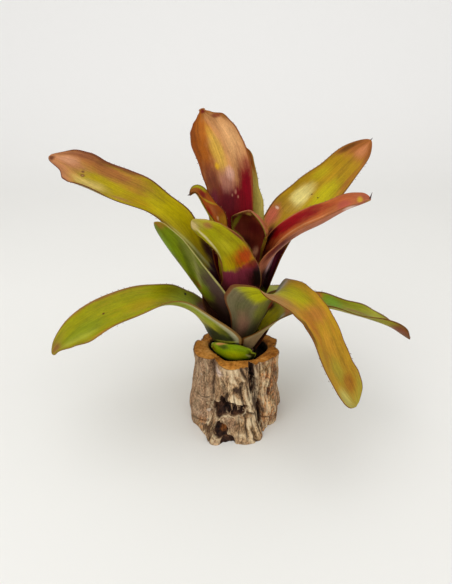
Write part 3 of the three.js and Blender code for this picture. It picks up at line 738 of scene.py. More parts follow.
def make_strap_leaf(section):
    """A thin closed leaf skinned round its midrib, upper face then under face."""
    w, given, result = new_tree("strap_leaf", {
        "Midrib": SHAPE, "Strips": STRIPS, "Wave Height": 0.0, "Wave Count": 3.0, "Finish": FINISH,
    })
    strips = given["Strips"]
    rows = w.add("AttributeDomainSize", {0: given["Midrib"]})
    round_count = w.line(strips, 2.0, 2.0)
    columns = w.plus(round_count, 1.0)
    grid = w.add("MeshGrid", {
        "Size X": 1.0, "Size Y": 1.0, "Vertices X": rows, "Vertices Y": columns,
    })
    index = w.add("InputIndex")
    row = w.math("FLOOR", w.over(w.plus(index, 0.5), columns))
    column = w.minus(index, w.times(row, columns))
    looped = w.math("FLOOR", w.math("MODULO", w.plus(column, 0.25), round_count))
    under = w.above(looped, w.plus(strips, 0.5))
    upper_side = w.line(w.over(looped, strips), 2.0, -1.0)
    back = w.minus(w.minus(looped, strips), 1.0)
    under_side = w.line(w.over(back, strips), -2.0, 1.0)
    side = w.blend(under, upper_side, under_side)
    sampled = {"Side": side, "Wave Height": given["Wave Height"], "Wave Count": given["Wave Count"]}
    for name, field in read_fields(w).items():
        inputs = {"Geometry": given["Midrib"], "Value": field, "Index": row}
        sampled[name] = w.add("SampleIndex", inputs, data_type=field_kind(name))
    on_blade = w.group(section, sampled, None).outputs
    squared = w.math("POWER", w.math("ABSOLUTE", side), 2.0)
    thickness = w.blend(squared, sampled["body"], sampled["rim"])
    offset = w.scaled(on_blade["Facing"], w.times(thickness, w.minus(0.5, under)))
    point = w.sum(on_blade["Point"], offset)
    shape = w.add("SetPosition", {"Geometry": grid, "Position": point})
    kept = {"along": sampled["travel"], "side": side, "underside": under,
            "round": w.over(column, round_count)}
    for name, value in kept.items():
        shape = keep(w, shape, name, value)
    spread = w.combine(w.field("along"), w.field("round"), 0.0)
    shape = keep(w, shape, "UVMap", spread, "CORNER", "FLOAT2")
    shape = w.add("MergeByDistance", {"Geometry": shape, "Distance": 0.004 * MM})
    shape = w.add("SetShadeSmooth", {"Geometry": shape})
    return finish_tree(w, given, result, shape)


# The dry points at the ends of leaves: the leaf, how far it turns up and its length in mm.
TIP_POINTS = [
    ("leaf_right_channelled", 1.6, 3.6), ("leaf_low_right", 0.0, 2.0),
    ("leaf_high_right", 0.3, 2.2), ("leaf_small_curled", 0.2, 1.6),
]
TIP_POINT_SINK = 0.6


def make_margin_spines(section):
    """Small forward-pointing spines spaced along both margins of every leaf."""
    w, given, result = new_tree("margin_spines", {
        "Midribs": SHAPE, "Spacing": 2.6 * MM, "Spine Length": 0.75 * MM,
        "Spine Width": 0.16 * MM, "First": 0.3, "Last": 0.88, "Seed": 3, "Finish": FINISH,
    })
    curve = w.add("MeshToCurve", {"Mesh": given["Midribs"]})
    curve = w.add("ResampleCurve", {"Curve": curve, "Length": given["Spacing"]}, mode="LENGTH")
    both = w.add("JoinGeometry", output=None)
    for sign in (-1.0, 1.0):
        fields = read_fields(w)
        margin = w.group(section, {"Side": sign, **fields}, None).outputs
        heading = w.sum(w.scaled(margin["Outward"], sign), w.scaled(fields["ahead"], 0.9))
        shape = keep(w, curve, "heading", w.vector("NORMALIZE", heading), data_type="FLOAT_VECTOR")
        shape = w.add("SetPosition", {"Geometry": shape, "Position": margin["Point"]})
        w.plug(both.inputs[0], shape)
    spine = w.add("MeshCone", {
        "Vertices": 4, "Radius Bottom": given["Spine Width"], "Depth": given["Spine Length"],
    }, fill_type="TRIANGLE_FAN")
    travel = w.field("travel")
    chosen = w.times(w.above(travel, given["First"]),
                     w.math("LESS_THAN", travel, given["Last"]))
    size = w.add("FunctionNodeRandomValue", {2: 0.55, 3: 1.15, "Seed": given["Seed"]}, 1)
    shape = stand(w, both.outputs[0], spine, size, Selection=chosen)
    return finish_tree(w, given, result, shape)


# ---- Leaf colours ----

# How each leaf looks. A patch on its upper or lower face has a colour and then, in hundredths, its
# place along and across, its reach along and across, its strength and sometimes its slant.
LOOKS = {
    "leaf_basal_scale": dict(
        slot="leaf_green", middle=0x7C9404, tip=0x7E8C08, margin=0x7E8C18, mottle=0.1, under=0x748C04,
        under_base=0x222A06, base_end=0.36, base_blend=0.12, tip_start=1.2, scurf=0.0, margin_width=0.1,
        lower=[(0xA0B008, 62, 20, 24, 45, 80), (0x3C4A0A, 90, -35, 10, 35, 90),
            (0x201C08, 50, 90, 25, 20, 90), (0x9A9C66, 47, 72, 12, 7, 80), (0x6A4A10, 60, -90, 20, 20, 80),
            (0xC88450, 95, -85, 10, 30, 90)],
    ),
    "leaf_low_back_right": dict(
        slot="leaf_green", base=0x6A3C28, middle=0x868C12, tip=0x8A7A2C, base_end=0.3, tip_start=0.82,
        upper=[(0x8A6420, 70, 70, 20, 30, 70)],
    ),
    "leaf_low_left": dict(
        slot="leaf_green", base=0x8A4A20, middle=0x8C8A06, tip=0x8A7A26, margin=0x86602A,
        mottle_tint=0x8E6E10, under=0x90881A, under_base=0x1E2408, base_end=0.22, base_blend=0.035,
        tip_start=0.95, scurf=0.03, mottle=0.45, contrast=1.0,
        upper=[(0xA05838, 23, -60, 4, 35, 90), (0x5E6234, 17, -70, 3, 20, 90),
            (0xA4B010, 33, -40, 8, 50, 90), (0xAC722A, 62, 90, 20, 18, 90), (0x84502A, 70, -97, 20, 9, 80),
            (0xA8A838, 86, 40, 10, 30, 80), (0x9A8410, 55, 10, 9, 40, 80), (0x8E6E14, 44, 50, 6, 25, 60),
            (0x788212, 83, 10, 12, 45, 80), (0x5A3208, 72, -20, 0.6, 5, 100),
            (0x180C04, 33.5, -78, 0.8, 7, 100), (0x8A5A30, 97, -10, 3, 60, 80)],
        lower=[(0xCCC49C, 36, 30, 8, 12, 90), (0x86901A, 34, 75, 14, 25, 90),
            (0x96962A, 13, 65, 1.2, 30, 90), (0xB4B08A, 24, -90, 14, 14, 80),
            (0xB4B08A, 24, 93, 14, 10, 80)],
    ),
    "leaf_low_right": dict(
        slot="leaf_green", base=0x8C8414, middle=0x808404, tip=0x6A3E12, margin=0x6A3E10, under=0x8C8210,
        under_base=0x8A7250, base_end=0.2, base_blend=0.04, tip_start=0.92, scurf=0.2, scurf_tint=0x8E7A5C,
        mottle=0.5, mottle_tint=0x76600E, margin_width=0.1,
        # The yellow-green 0xDCD022 on the sheath is painted brighter than the leaf is, to make up for the
        # shadow of the leaf above it; 0xD8D0B0 is a painted highlight.
        upper=[(0xDCD022, 16, 10, 14, 50, 95), (0xD8D0B0, 28, -45, 2.5, 20, 80),
            (0xB46A1C, 30, 0, 2.5, 90, 95, -900), (0x5A1010, 22, 50, 3, 14, 95),
            (0x668A08, 54.5, 45, 6, 60, 90), (0xA8661C, 46, 80, 3.5, 25, 90), (0x88642A, 67, 25, 8, 20, 70),
            (0x9C9812, 80, 60, 9, 30, 80), (0x5C3A10, 75, -80, 20, 25, 90)],
        lower=[(0x96845A, 22, -85, 8, 20, 80), (0xB0AC50, 58, -90, 8, 20, 80),
            (0x968E10, 76, -60, 10, 50, 90), (0x7E3C16, 90, -50, 7, 70, 95)],
    ),
    "leaf_low_back": dict(
        slot="leaf_green", base=0x5E3422, middle=0x848C0E, tip=0x8A8028, base_end=0.3,
        upper=[(0x8A5E20, 66, -60, 20, 35, 80), (0x9A9A24, 80, 30, 10, 40, 70)],
    ),
    "leaf_front_drooping": dict(
        slot="leaf_golden", base=0x6E6A06, middle=0xA88018, tip=0x9A9030, margin=0x744220,
        mottle_tint=0xA6661A, mottle=0.5, under=0x76702A, under_base=0x6E6446, base_end=0.32,
        base_blend=0.05, tip_start=0.95, scurf=0.4, scurf_tint=0x8E8460, margin_width=0.05,
        upper=[(0x9A9406, 44, 10, 13, 65, 95), (0x966A30, 46, -70, 11, 35, 90),
            (0xA8662A, 59, 10, 5, 70, 70), (0xB88420, 72, 10, 7, 40, 80), (0x9C8C24, 84, 0, 7, 35, 80),
            (0xA8641E, 64, -50, 8, 30, 70), (0x5E340E, 65, -88, 8, 10, 90), (0xA8A050, 93, -50, 5, 35, 80),
            (0x9A5E10, 91, 25, 5, 40, 80)],
        lower=[(0xB4B206, 33, -55, 6, 55, 100), (0x5A5A34, 20, -65, 8, 20, 90),
            (0x96865A, 12, 20, 7, 16, 80), (0x8E6450, 12, -60, 10, 25, 80), (0x7E8020, 22, -10, 8, 30, 70),
            (0x841C12, 24, 30, 3.5, 18, 95), (0x1E1008, 20, 32, 3, 16, 95), (0x6E6650, 8, -10, 5, 30, 70),
            (0x7A6A14, 30, 30, 3, 25, 80)],
    ),
    "leaf_left_upright": dict(
        slot="leaf_green", base=0x4C3038, middle=0x7A8806, tip=0x8A6A1C, margin=0xA8A060, under=0x667404,
        under_base=0x35221E, base_end=0.3, base_blend=0.05, tip_start=0.985, tip_blend=0.015, scurf=0.0,
        margin_width=0.06, contrast=1.0,
        lower=[(0x6C8204, 84, -10, 10, 50, 80), (0x727400, 62, -30, 12, 50, 80),
            (0x94800A, 46, -10, 14, 30, 90), (0x6A6C2C, 70, 78, 20, 30, 80, 140),
            # The dark brown-purple patches 0x38241F, 0x46362C and 0x30201A over the wing and near the base
            # are partly the leaf's own colour and partly painted shade.
            (0x38241F, 42, 75, 24, 36, 100, 160), (0x46362C, 54, 85, 12, 30, 90),
            (0x8A8450, 60, 60, 14, 8, 40, 240), (0x823C08, 53, 30, 5, 12, 90), (0x5E4A1A, 37, 15, 8, 30, 90),
            (0x4A5208, 62, 38, 20, 16, 80, 160), (0x30201A, 32, 45, 8, 40, 90),
            (0x8A5A20, 97, 40, 3, 40, 70)],
    ),
    "leaf_high_right": dict(
        slot="leaf_golden", base=0x3A0A14, middle=0xA07C10, tip=0x9A5A28, margin=0x7C4C14,
        mottle_tint=0xA07016, mottle=0.5, under=0x7A4A34, under_base=0x3A141C, base_end=0.38,
        base_blend=0.03, tip_start=0.88, tip_blend=0.05, contrast=1.05,
        upper=[(0xAEA206, 64, -35, 11, 45, 95), (0xD8C878, 59, 40, 8, 35, 95),
            (0xA07A1C, 51.5, 60, 3.5, 50, 90), (0xA69412, 72, 55, 6, 30, 80),
            (0xC06048, 44.5, 75, 5.5, 35, 95), (0xE8C8B0, 48.5, 75, 0.6, 8, 80),
            (0x50080E, 39, 45, 3.5, 12, 95), (0x9A5A24, 76, -80, 10, 16, 70), (0xC07A4C, 93, -20, 5, 40, 80),
            (0x623A0C, 90, 75, 6, 20, 90), (0x4A2A08, 62, -20, 0.4, 4, 100), (0x4A2A08, 62, 10, 0.5, 4, 100),
            # The first patch here, 0xC49CA8, is a painted highlight: the pinkish-white glint on the glossy
            # sheath.
            (0xC49CA8, 30, -40, 5, 10, 85), (0x6A2438, 26, -65, 6, 15, 80),
            (0x8A920A, 17, -60, 1.5, 50, 95)],
    ),
    "leaf_high_left": dict(
        slot="leaf_golden", base=0x420E1C, middle=0xA28E02, tip=0xB0744A, margin=0x64301C,
        mottle_tint=0x92700A, mottle=0.35, under=0x8A7A34, under_base=0x4A2A2C, base_end=0.25,
        base_blend=0.03, tip_blend=0.06, scurf=0.0, contrast=1.05,
        upper=[(0x3A041C, 29, -70, 6, 30, 95), (0x78802A, 32, 20, 8, 30, 90),
            (0xBEBE70, 34.5, 13, 12, 13, 95, 340), (0xB4A400, 47, -30, 14, 70, 90),
            (0x96582A, 76, -55, 17, 42, 90), (0x6E3A1A, 80, -93, 20, 10, 90), (0x9C6C1C, 64, -25, 6, 20, 70),
            (0xBEA65C, 78, 45, 8, 30, 85), (0x947008, 60, 20, 6, 30, 60), (0x846414, 47, 60, 5, 16, 80),
            (0xC68E68, 93, -30, 5, 30, 70), (0x7A4426, 86, -75, 12, 14, 70), (0x9A6840, 64, 50, 5, 16, 60),
            (0x5E3420, 83.5, 20, 1.1, 9, 90), (0xA87448, 83.5, 20, 0.5, 4.5, 100),
            (0x6A3C24, 84.7, 2, 0.8, 7, 90), (0x5A2C14, 98.5, 30, 1.4, 70, 90)],
    ),
    "leaf_front_short": dict(
        slot="leaf_golden", base=0x6A1A24, middle=0xA8A030, tip=0xA8964A, margin=0x8A5A2A, under=0x9C9206,
        under_base=0x7C2C3C, base_end=0.55, base_blend=0.02, tip_start=0.96, scurf=0.0, margin_width=0.05,
        contrast=1.0,
        lower=[(0x78263A, 46, -45, 7, 40, 90), (0x140608, 44, 80, 10, 55, 100),
            (0xB49A02, 61, -20, 7, 50, 95), (0xAA440E, 61, 60, 7.5, 65, 100), (0x6A1C14, 54, 80, 3, 30, 90),
            (0xA89E18, 75, 10, 7, 35, 80), (0x9A9604, 84, 10, 6, 35, 80),
            (0xCCC08A, 84, -55, 17, 14, 90, 140), (0x5A1A14, 66, -93, 13, 12, 90),
            (0x7C7A08, 93, -90, 7, 14, 90), (0x6A1A22, 76, 95, 8, 10, 90), (0x9A6438, 91, 50, 3, 30, 80),
            (0xCCB478, 97.5, -40, 4, 50, 90)],
    ),
    "leaf_right_channelled": dict(
        slot="leaf_red", base=0x3A0812, middle=0xB0602E, tip=0xA4583C, margin=0x9A5A34,
        mottle_tint=0x9A3A1C, mottle=0.3, under=0xB46E50, under_base=0x2A0C14, base_end=0.36,
        tip_start=0.94, scurf=0.0, contrast=1.0, margin_width=0.05,
        upper=[(0x9A3A20, 42, 10, 8, 50, 90), (0x84040C, 58, 78, 24, 42, 100, -30),
            (0x1E0608, 46, 92, 6, 14, 95), (0xC48A5A, 62, 30, 22, 5, 70, -30), (0xA84A3C, 87, 20, 4, 50, 80),
            (0xC4A028, 95, 20, 1.5, 45, 95), (0xA86440, 70, -20, 30, 12, 70)],
        # On the under face, the pinkish haze 0xA88488 on the dark sheath is painted sheen, and the cream
        # 0xE4CCC0 near the tip is a painted highlight.
        lower=[(0x5A1A1A, 50, -80, 12, 30, 95), (0xA88488, 38, -30, 5, 20, 80),
            (0xE4CCC0, 90, -80, 3, 20, 80), (0xB08A18, 98.5, -50, 1.5, 50, 90)],
    ),
    "leaf_behind_tall": dict(
        slot="leaf_golden", base=0x5A1A1E, middle=0xC4B050, tip=0x8E4E20, margin=0x9A8A3A, under=0x8A8A38,
        under_base=0x54303A, base_end=0.3, tip_start=0.85,
        upper=[(0xB8A854, 65, -90, 16, 30, 90)],
    ),
    "leaf_tall_back": dict(
        slot="leaf_red", base=0x661018, middle=0xB88250, tip=0x94602C, margin=0x84441A,
        mottle_tint=0xAE7034, mottle=0.3, under=0x9A5A3C, under_base=0x5A1A2C, base_end=0.6,
        base_blend=0.03, tip_start=0.965, tip_blend=0.02, contrast=1.0,
        upper=[(0x965010, 84, 70, 26, 56, 100), (0x7E3C06, 84, 95, 24, 25, 90),
            (0xAA5E18, 90, 35, 7, 40, 90), (0x703220, 62, 60, 10, 40, 90), (0x6A2030, 54.5, 75, 5, 30, 80),
            (0xC8980C, 70, 30, 2, 10, 90), (0xC8A03C, 78, 12, 13, 24, 80), (0xCE9C66, 78, -60, 16, 35, 80),
            # The pale greyish-pink 0xCC9C88 at the middle of the leaf is a painted highlight.
            (0xA86E5E, 62, 5, 6, 35, 85), (0xCC9C88, 65.5, -10, 3.5, 20, 80),
            (0x760012, 59, -72, 15, 42, 100), (0x56101A, 52, 10, 6, 40, 80), (0xC48A6C, 57, -25, 1.2, 5, 50),
            (0xC48A6C, 55.5, -10, 0.8, 4, 50), (0xC48A6C, 54.5, -35, 0.8, 4, 50),
            (0x7E3A22, 94.5, -65, 1.4, 30, 90), (0x6A1C14, 98.5, 0, 1.2, 70, 95)],
    ),
    "leaf_small_curled": dict(
        slot="leaf_red", base=0x5A1216, middle=0x9A4C10, tip=0x7A4A10, margin=0x5A2A0C,
        mottle_tint=0x8A2C0A, under=0xA48A1C, under_base=0x8A3A14, base_end=0.3, tip_start=0.93,
        margin_width=0.08, scurf=0.0,
        # The cream-pink 0xC89868 is a painted highlight.
        upper=[(0xAA7A18, 66, -70, 6, 35, 90), (0xC89868, 69.5, -40, 2, 10, 80),
            (0xA06848, 62, 10, 4, 35, 50), (0x861A0A, 77, 10, 6, 30, 90), (0xA0582A, 76, -35, 5, 25, 80),
            (0xAC8A18, 83.5, -40, 7, 14, 95, 900), (0x74160E, 90, -30, 3.5, 35, 95),
            (0x969410, 93, -80, 3.5, 25, 90), (0x281008, 99.5, 0, 2, 100, 100)],
    ),
    "leaf_heart": dict(
        slot="leaf_maroon", base=0x2C060C, middle=0x682618, tip=0xA06444, margin=0x6E6016,
        mottle_tint=0x4A1010, under=0x8A7A28, under_base=0x5A2A2C, base_end=0.3, tip_start=0.97,
        tip_blend=0.03, margin_width=0.06, scurf=0.0,
        upper=[(0xA8643C, 97, 20, 4, 60, 80), (0x4E1A14, 50, -45, 8, 22, 90), (0xB0785A, 54, -22, 6, 16, 90),
            (0x300A0A, 60, 30, 8, 50, 80), (0x8E8420, 64, 50, 12, 9, 80, 450), (0x541412, 78, 0, 8, 30, 90),
            (0x8E4622, 90, -30, 7, 30, 95), (0xC8A848, 95, 12, 3, 16, 95),
            (0x7E761C, 86, 75, 13, 13, 95, -200), (0x540812, 90, 100, 8, 14, 90)],
        lower=[(0x9A3A24, 90, -50, 10, 60, 70)],
    ),
}

PATCH_KEYS = ("Along", "Side", "Along Reach", "Side Reach", "Strength", "Slant")
VEIN_KEYS = ("margin", "margin_width", "contrast")
# What sets the noise of one leaf apart from the next.
LEAF_STEP = 7.31


def group_inputs(look, number, for_veins):
    """The inputs that a look sets on one of its groups, and the leaf's own number."""
    values = {"Leaf": number * LEAF_STEP}
    for key, value in look.items():
        if key not in ("slot", "upper", "lower") and (key in VEIN_KEYS) == for_veins:
            values[titled(key)] = value
    return values


def leaf_finish(name, look, number):
    """A leaf's own finish: waxy tissue from base to tip, then its patches."""
    material, w, shader = new_finish(name + "_finish", coat_weight=0.03, coat_roughness=0.25,
                                    specular_ior_level=0.06)
    tissue = w.group(LEAF_TISSUE, group_inputs(look, number, False), None)
    colour = tissue.outputs["Color"]
    for underside, face in enumerate(("upper", "lower")):
        for patch, *shares in look.get(face, []):
            values = {key: share / 100 for key, share in zip(PATCH_KEYS, shares)}
            values.update({"Color": colour, "Patch": patch, "Underside": underside})
            colour = w.group(LEAF_PATCH, values)
    veins = group_inputs(look, number, True)
    w.plug(shader["Base Color"], w.group(LEAF_VEINS, {"Color": colour, **veins}))
    w.plug(shader["Roughness"], tissue.outputs["Roughness"])
    relief(w, shader, tissue.outputs["Height"], 0.5, 0.15 * MM)
    return material


def make_tip_points():
    """The short dry points at the ends of some leaves."""
    w, given, result = new_tree("tip_points", {
        "Places": SHAPE, "Width": 0.5 * MM, "Finish": FINISH,
    })
    cone = w.add("MeshCone", {
        "Vertices": 6, "Side Segments": 3, "Radius Bottom": given["Width"], "Depth": MM,
    }, fill_type="TRIANGLE_FAN")
    shape = stand(w, given["Places"], cone, w.combine(1.0, 1.0, w.field("reach")))
    return finish_tree(w, given, result, shape)


def speckled_finish(name, roughness, scale, dark, light):
    material, w, shader = new_finish(name, roughness=roughness)
    w.plug(shader["Base Color"], w.tint(w.noise(w.place(), scale), dark, light))
    return material


def build_tip_points(material):
    """Points that turn up out of the ends of the leaves, sunk a little into them."""
    places, headings = [], []
    for name, rise, _ in TIP_POINTS:
        rank = next(k for k, leaf in enumerate(LEAVES) if leaf["name"] == name)
        rib = midrib_values(LEAVES[rank], rank)
        ahead, inner = rib["ahead"][-1], rib["inner"][-1]
        places.append(rib["position"][-1] - TIP_POINT_SINK * MM * ahead)
        headings.append(unit(ahead + rise * inner))
    lengths = [length for _, _, length in TIP_POINTS]
    ends = new_mesh("leaf_ends", places, heading=headings, reach=lengths)
    settle(grown("leaf_tip_points", ends, make_tip_points(), material), "leaf_red")


def build_leaves():
    section = make_blade_section()
    strap = make_strap_leaf(section)
    for rank, leaf in enumerate(LEAVES):
        name, look = leaf["name"], LOOKS[leaf["name"]]
        height, count = leaf.get("wave", (0, 0))
        midrib = midrib_mesh("midrib", [(rank, leaf)])
        blade = grown(name + "_blade", midrib, strap, leaf_finish(name, look, rank),
                      wave_height=height * MM, wave_count=float(count))
        settle(blade, look["slot"], name)
    # The lowest scale has no spines.
    ribs = midrib_mesh("midribs", list(enumerate(LEAVES))[1:])
    finish = speckled_finish("spine_finish", 0.45, 400.0, 0x5A3418, 0x8A6A2C)
    settle(grown("leaf_margin_spines", ribs, make_margin_spines(section), finish), "leaf_green")
    build_tip_points(speckled_finish("dry_point_finish", 0.6, 900.0, 0x1E0C0A, 0x4A2018))


# ---- The log ----

LOG_COLUMNS = 480
LOG_ROWS = 140
MEDIUM_COLUMNS = 160
# The rings of the sawn top, as shares of the way in, and the heights of those in the pocket.
CUT_RINGS = (0.03, 0.12, 0.25, 0.4, 0.55, 0.7, 0.85, 0.97)
POCKET_RINGS = (38, 34, 30, 22, POCKET_FLOOR)


def lobe_reach(lobe, azimuth):
    """How far out a ray at this azimuth leaves one lobe's round section."""
    turn = np.radians(turn_between(lobe["at"], azimuth))
    sideways = lobe["out"] * np.sin(turn)
    met = (np.cos(turn) > 0) & (np.abs(sideways) < lobe["radius"])
    depth = np.sqrt(np.maximum(lobe["radius"] ** 2 - sideways**2, 0))
    return np.where(met, lobe["out"] * np.cos(turn) + depth, 0)


def lobe_weights(azimuth):
    weights = np.stack([(lobe_reach(lobe, azimuth) / 20) ** LOBE_BLEND for lobe in LOBES])
    return weights / weights.sum(axis=0)


def blend_lobes(azimuth, key):
    values = np.array([lobe[key] for lobe in LOBES])
    return np.tensordot(values, lobe_weights(azimuth), axes=1)


def log_top(azimuth):
    ripple = CUT_RIPPLE * np.sin(np.radians(azimuth * 7))
    return LOG_HEIGHT + blend_lobes(azimuth, "rise") + ripple


def pocket_radius(azimuth):
    return POCKET_RADIUS + CUT_RIPPLE * np.sin(np.radians(azimuth * 3 + 40))


# Clefts drawn on the bark: azimuths and heights they pass, then half-width, depth and darkness.
CLEFTS = [
    ([(233, 43), (234, 34), (233, 27), (235, 23)], 0.7, 1.2, 0.85),
    ([(284, 43), (285, 37), (287, 32), (290, 28), (291, 24)], 1.1, 1.6, 1.0),
    ([(291, 24), (296, 21), (300, 17), (301, 9), (301, 0)], 0.7, 1.0, 0.9),
    ([(288, 33), (291, 25), (294, 16)], 2.4, 1.8, 1.0),
    ([(273, 18), (279, 17), (285, 15.5), (291, 14)], 0.5, 0.9, 0.95),
    ([(214, 19.5), (219, 18.6), (225, 19.2), (231, 20.5)], 0.4, 0.5, 0.85),
    ([(208, 3.5), (216, 4), (225, 5), (232, 6.5)], 0.5, 0.7, 0.7),
    ([(271, 34), (272.5, 28), (274, 24), (276, 21)], 0.45, 0.9, 0.9),
    ([(264, 31), (264.5, 26), (266, 22)], 0.35, 0.6, 0.7),
    ([(257, 33), (257, 28), (256, 24)], 0.3, 0.5, 0.55),
    ([(278, 34), (281, 28), (283, 23)], 0.4, 0.8, 0.8),
    ([(277, 14), (278, 8), (279, 3)], 0.45, 0.9, 0.9),
    ([(270, 15), (271, 9), (270, 3)], 0.3, 0.5, 0.6),
    ([(284, 13), (286, 7), (286, 1)], 0.35, 0.7, 0.75),
    ([(291, 15), (293, 9), (295, 3)], 0.6, 1.0, 0.9),
    ([(301, 8), (307, 7.4), (314, 6.6)], 0.45, 0.9, 0.95),
    ([(312, 30), (311, 24), (313, 17)], 0.4, 0.7, 0.7),
    ([(237, 38), (241, 36.8), (247, 37.4), (252, 38.6)], 0.3, 0.4, 0.7),
    ([(236, 6), (238, 2)], 0.3, 0.8, 0.9),
    ([(241, 6.5), (243, 3), (242, 0)], 0.35, 0.9, 0.95),
    ([(231, 5), (233, 1)], 0.3, 0.7, 0.8),
    ([(322, 20), (323, 12), (321, 5)], 0.4, 0.7, 0.7),
]

# How far round the bark one degree goes.
ONE_DEGREE = 0.4

# Where each mask of the bark changes: azimuth, height, half-width in degrees, half-height and
# how much.
REGIONS = {
    "ridged": [(272, 30, 24, 22, 0.8), (282, 8, 18, 12, 0.9), (238, 3, 12, 6, 1.0),
        (242, 30, 9, 9, -0.5), (261, 11, 11, 5.5, -0.9), (216, 14, 18, 30, -0.3),
        (314, 20, 16, 26, 0.35)],
    "pale": [(266, 30, 18, 15, 0.35), (282, 9, 16, 10, 0.45), (214, 12, 16, 7, -0.1),
        (224, 2, 10, 4, 0.5), (243, 29, 9, 9, 0.1), (240, 3, 10, 5, 0.8), (262, 10, 9, 5, -0.4),
        (316, 13, 10, 11, 0.8), (290, 4, 9, 5, 0.8), (307, 33, 11, 10, 0.9), (322, 4, 9, 6, 0.7),
        (314, 36, 9, 6, 0.4)],
    "ruddy": [(308, 34, 9, 9, 0.7), (316, 16, 9, 10, 0.5), (300, 30, 8, 14, -0.6), (224, 2, 12, 5, 0.7),
        (322, 27, 12, 8, 0.4)],
    "chips": [(243, 37.8, 10, 3, 1.0)],
    "orange": [(253, 5.6, 5, 2.4, 1.0), (229, 2.4, 5, 3.6, 0.7), (318, 2.5, 8, 4, 0.5)],
}


def hollow_depths(azimuth, height):
    """Depth of the ragged hollows in the bark, less than 0 where it swells, and their darkness, which the
    finish paints in as shade.
    """
    frayed = 0.16 * layered(azimuth, height, 40, 4, 21)
    depth, dark = 0, 0
    for at, middle, wide, tall, deep, darkness in HOLLOWS:
        far = np.hypot(turn_between(at, azimuth) / wide, (height - middle) / tall)
        amount = 1 - smoothstep(0.45, 0.85, far + frayed) if darkness else hump(far, 1)
        depth = depth + deep * amount
        dark = np.maximum(dark, darkness * amount)
    return depth, dark


def cleft_depths(azimuth, height):
    """Depth and darkness of the drawn clefts."""
    depth, dark = 0, 0
    uneven = 0.35 * layered(azimuth, height, 120, 2, 91)
    for points, width, deep, darkness in CLEFTS:
        near = 99
        for (a, low), (b, high) in zip(points, points[1:]):
            along, up = ONE_DEGREE * turn_between(a, b), high - low
            x, y = ONE_DEGREE * turn_between(a, azimuth), height - low
            t = np.clip((x * along + y * up) / (along**2 + up**2), 0, 1)
            near = np.minimum(near, np.hypot(x - t * along, y - t * up))
        amount = 1 - smoothstep(0.2, 1.3, near / width + uneven)
        depth = np.maximum(depth, deep * amount)
        dark = np.maximum(dark, darkness * amount)
    return depth, dark


def region(azimuth, height, key):
    """The log's own value of a mask, changed where the bark changes."""
    value = blend_lobes(azimuth, key) if key in LOBES[0] else 0.0 * azimuth
    ragged = 0.25 * layered(azimuth, height, 30, 4, 101)
    for at, middle, wide, tall, amount in REGIONS[key]:
        far = np.hypot(turn_between(at, azimuth) / wide, (height - middle) / tall)
        value = value + amount * (1 - smoothstep(0.45, 1.05, far + ragged))
    return np.clip(value, 0, 1)


def bark(azimuth, height):
    """Radius of the bark in millimetres, and the masks that its finish reads."""
    up = height / LOG_HEIGHT
    weights = lobe_weights(azimuth)
    reaches = np.stack([lobe_reach(lobe, azimuth) for lobe in LOBES])
    feet = np.array([lobe["foot"] for lobe in LOBES]).reshape(-1, *[1] * azimuth.ndim)
    spread = np.clip(1 - up, 0, 1) ** FOOT_SPREAD
    radius = (weights * (reaches + feet * spread)).sum(axis=0)
    for at, wide, out, tall in TOES:
        radius = radius + out * hump(turn_between(at, azimuth), wide) * hump(height, tall)
    radius = radius + BARK_RIDGE * np.sin(np.radians(azimuth * 9) + up * 5)
    radius = radius + BARK_SWELL * np.sin(np.radians(azimuth * 2) + up * 13)
    # Where two lobes meet, the surface dips, and the finish paints shade into the dip.
    crease = smoothstep(0.7, 1.0, 1 - (weights.max(axis=0) - 0.5) / 0.5)
    masks = {key: region(azimuth, height, key) for key in REGIONS}
    ridged = masks["ridged"]
    # The ridges of the front fan out towards the ground.
    fan = smoothstep(256, 280, azimuth) * (1 - smoothstep(296, 306, azimuth))
    bent = azimuth + 0.6 * fan * (height - LOG_HEIGHT)
    bent = bent + 1.6 * grain(azimuth / 360 * 12, height / 8, 3, 12)
    bent = bent + 0.9 * grain(azimuth / 360 * 48, height / 3, 4, 48)
    ridges = layered(bent, height, 150, 6, 5)
    broad = layered(bent, height, 44, 14, 111, 2)
    tilted = ridges + 0.5 * broad
    furrow = smoothstep(0.15, 0.8, -tilted) * (0.12 + 0.88 * ridged)
    # Ridge crests, which the finish paints pale as a highlight.
    crest = smoothstep(-0.1, 0.7, tilted) * (0.15 + 0.85 * ridged)
    crumb = layered(azimuth, height, 180, 1.3, 15, 2)
    depth, dark = hollow_depths(azimuth, height)
    cleft, shade = cleft_depths(azimuth, height)
    raised = 0.28 * ridges + 0.3 * broad - 0.35 * furrow
    radius = radius + (0.2 + 0.8 * ridged) * raised + 0.08 * crumb
    radius = radius - cleft - 0.5 * crease - depth
    radius = radius + dark * 0.8 * layered(azimuth, height, 60, 2.6, 31, 3)
    flakes = smoothstep(0.6, 1.1, layered(azimuth, height, 14, 12, 81, 2)) * (1 - dark)
    flakes = flakes * smoothstep(2, 4, height)
    lip = hump(dark - 0.25, 0.25) * (1 - masks["orange"])
    masks.update(crack=np.maximum(furrow, shade), crease=0.6 * crease, hollow=dark, flakes=flakes,
                 crest=crest * (1 - dark), lip=lip)
    return radius, masks


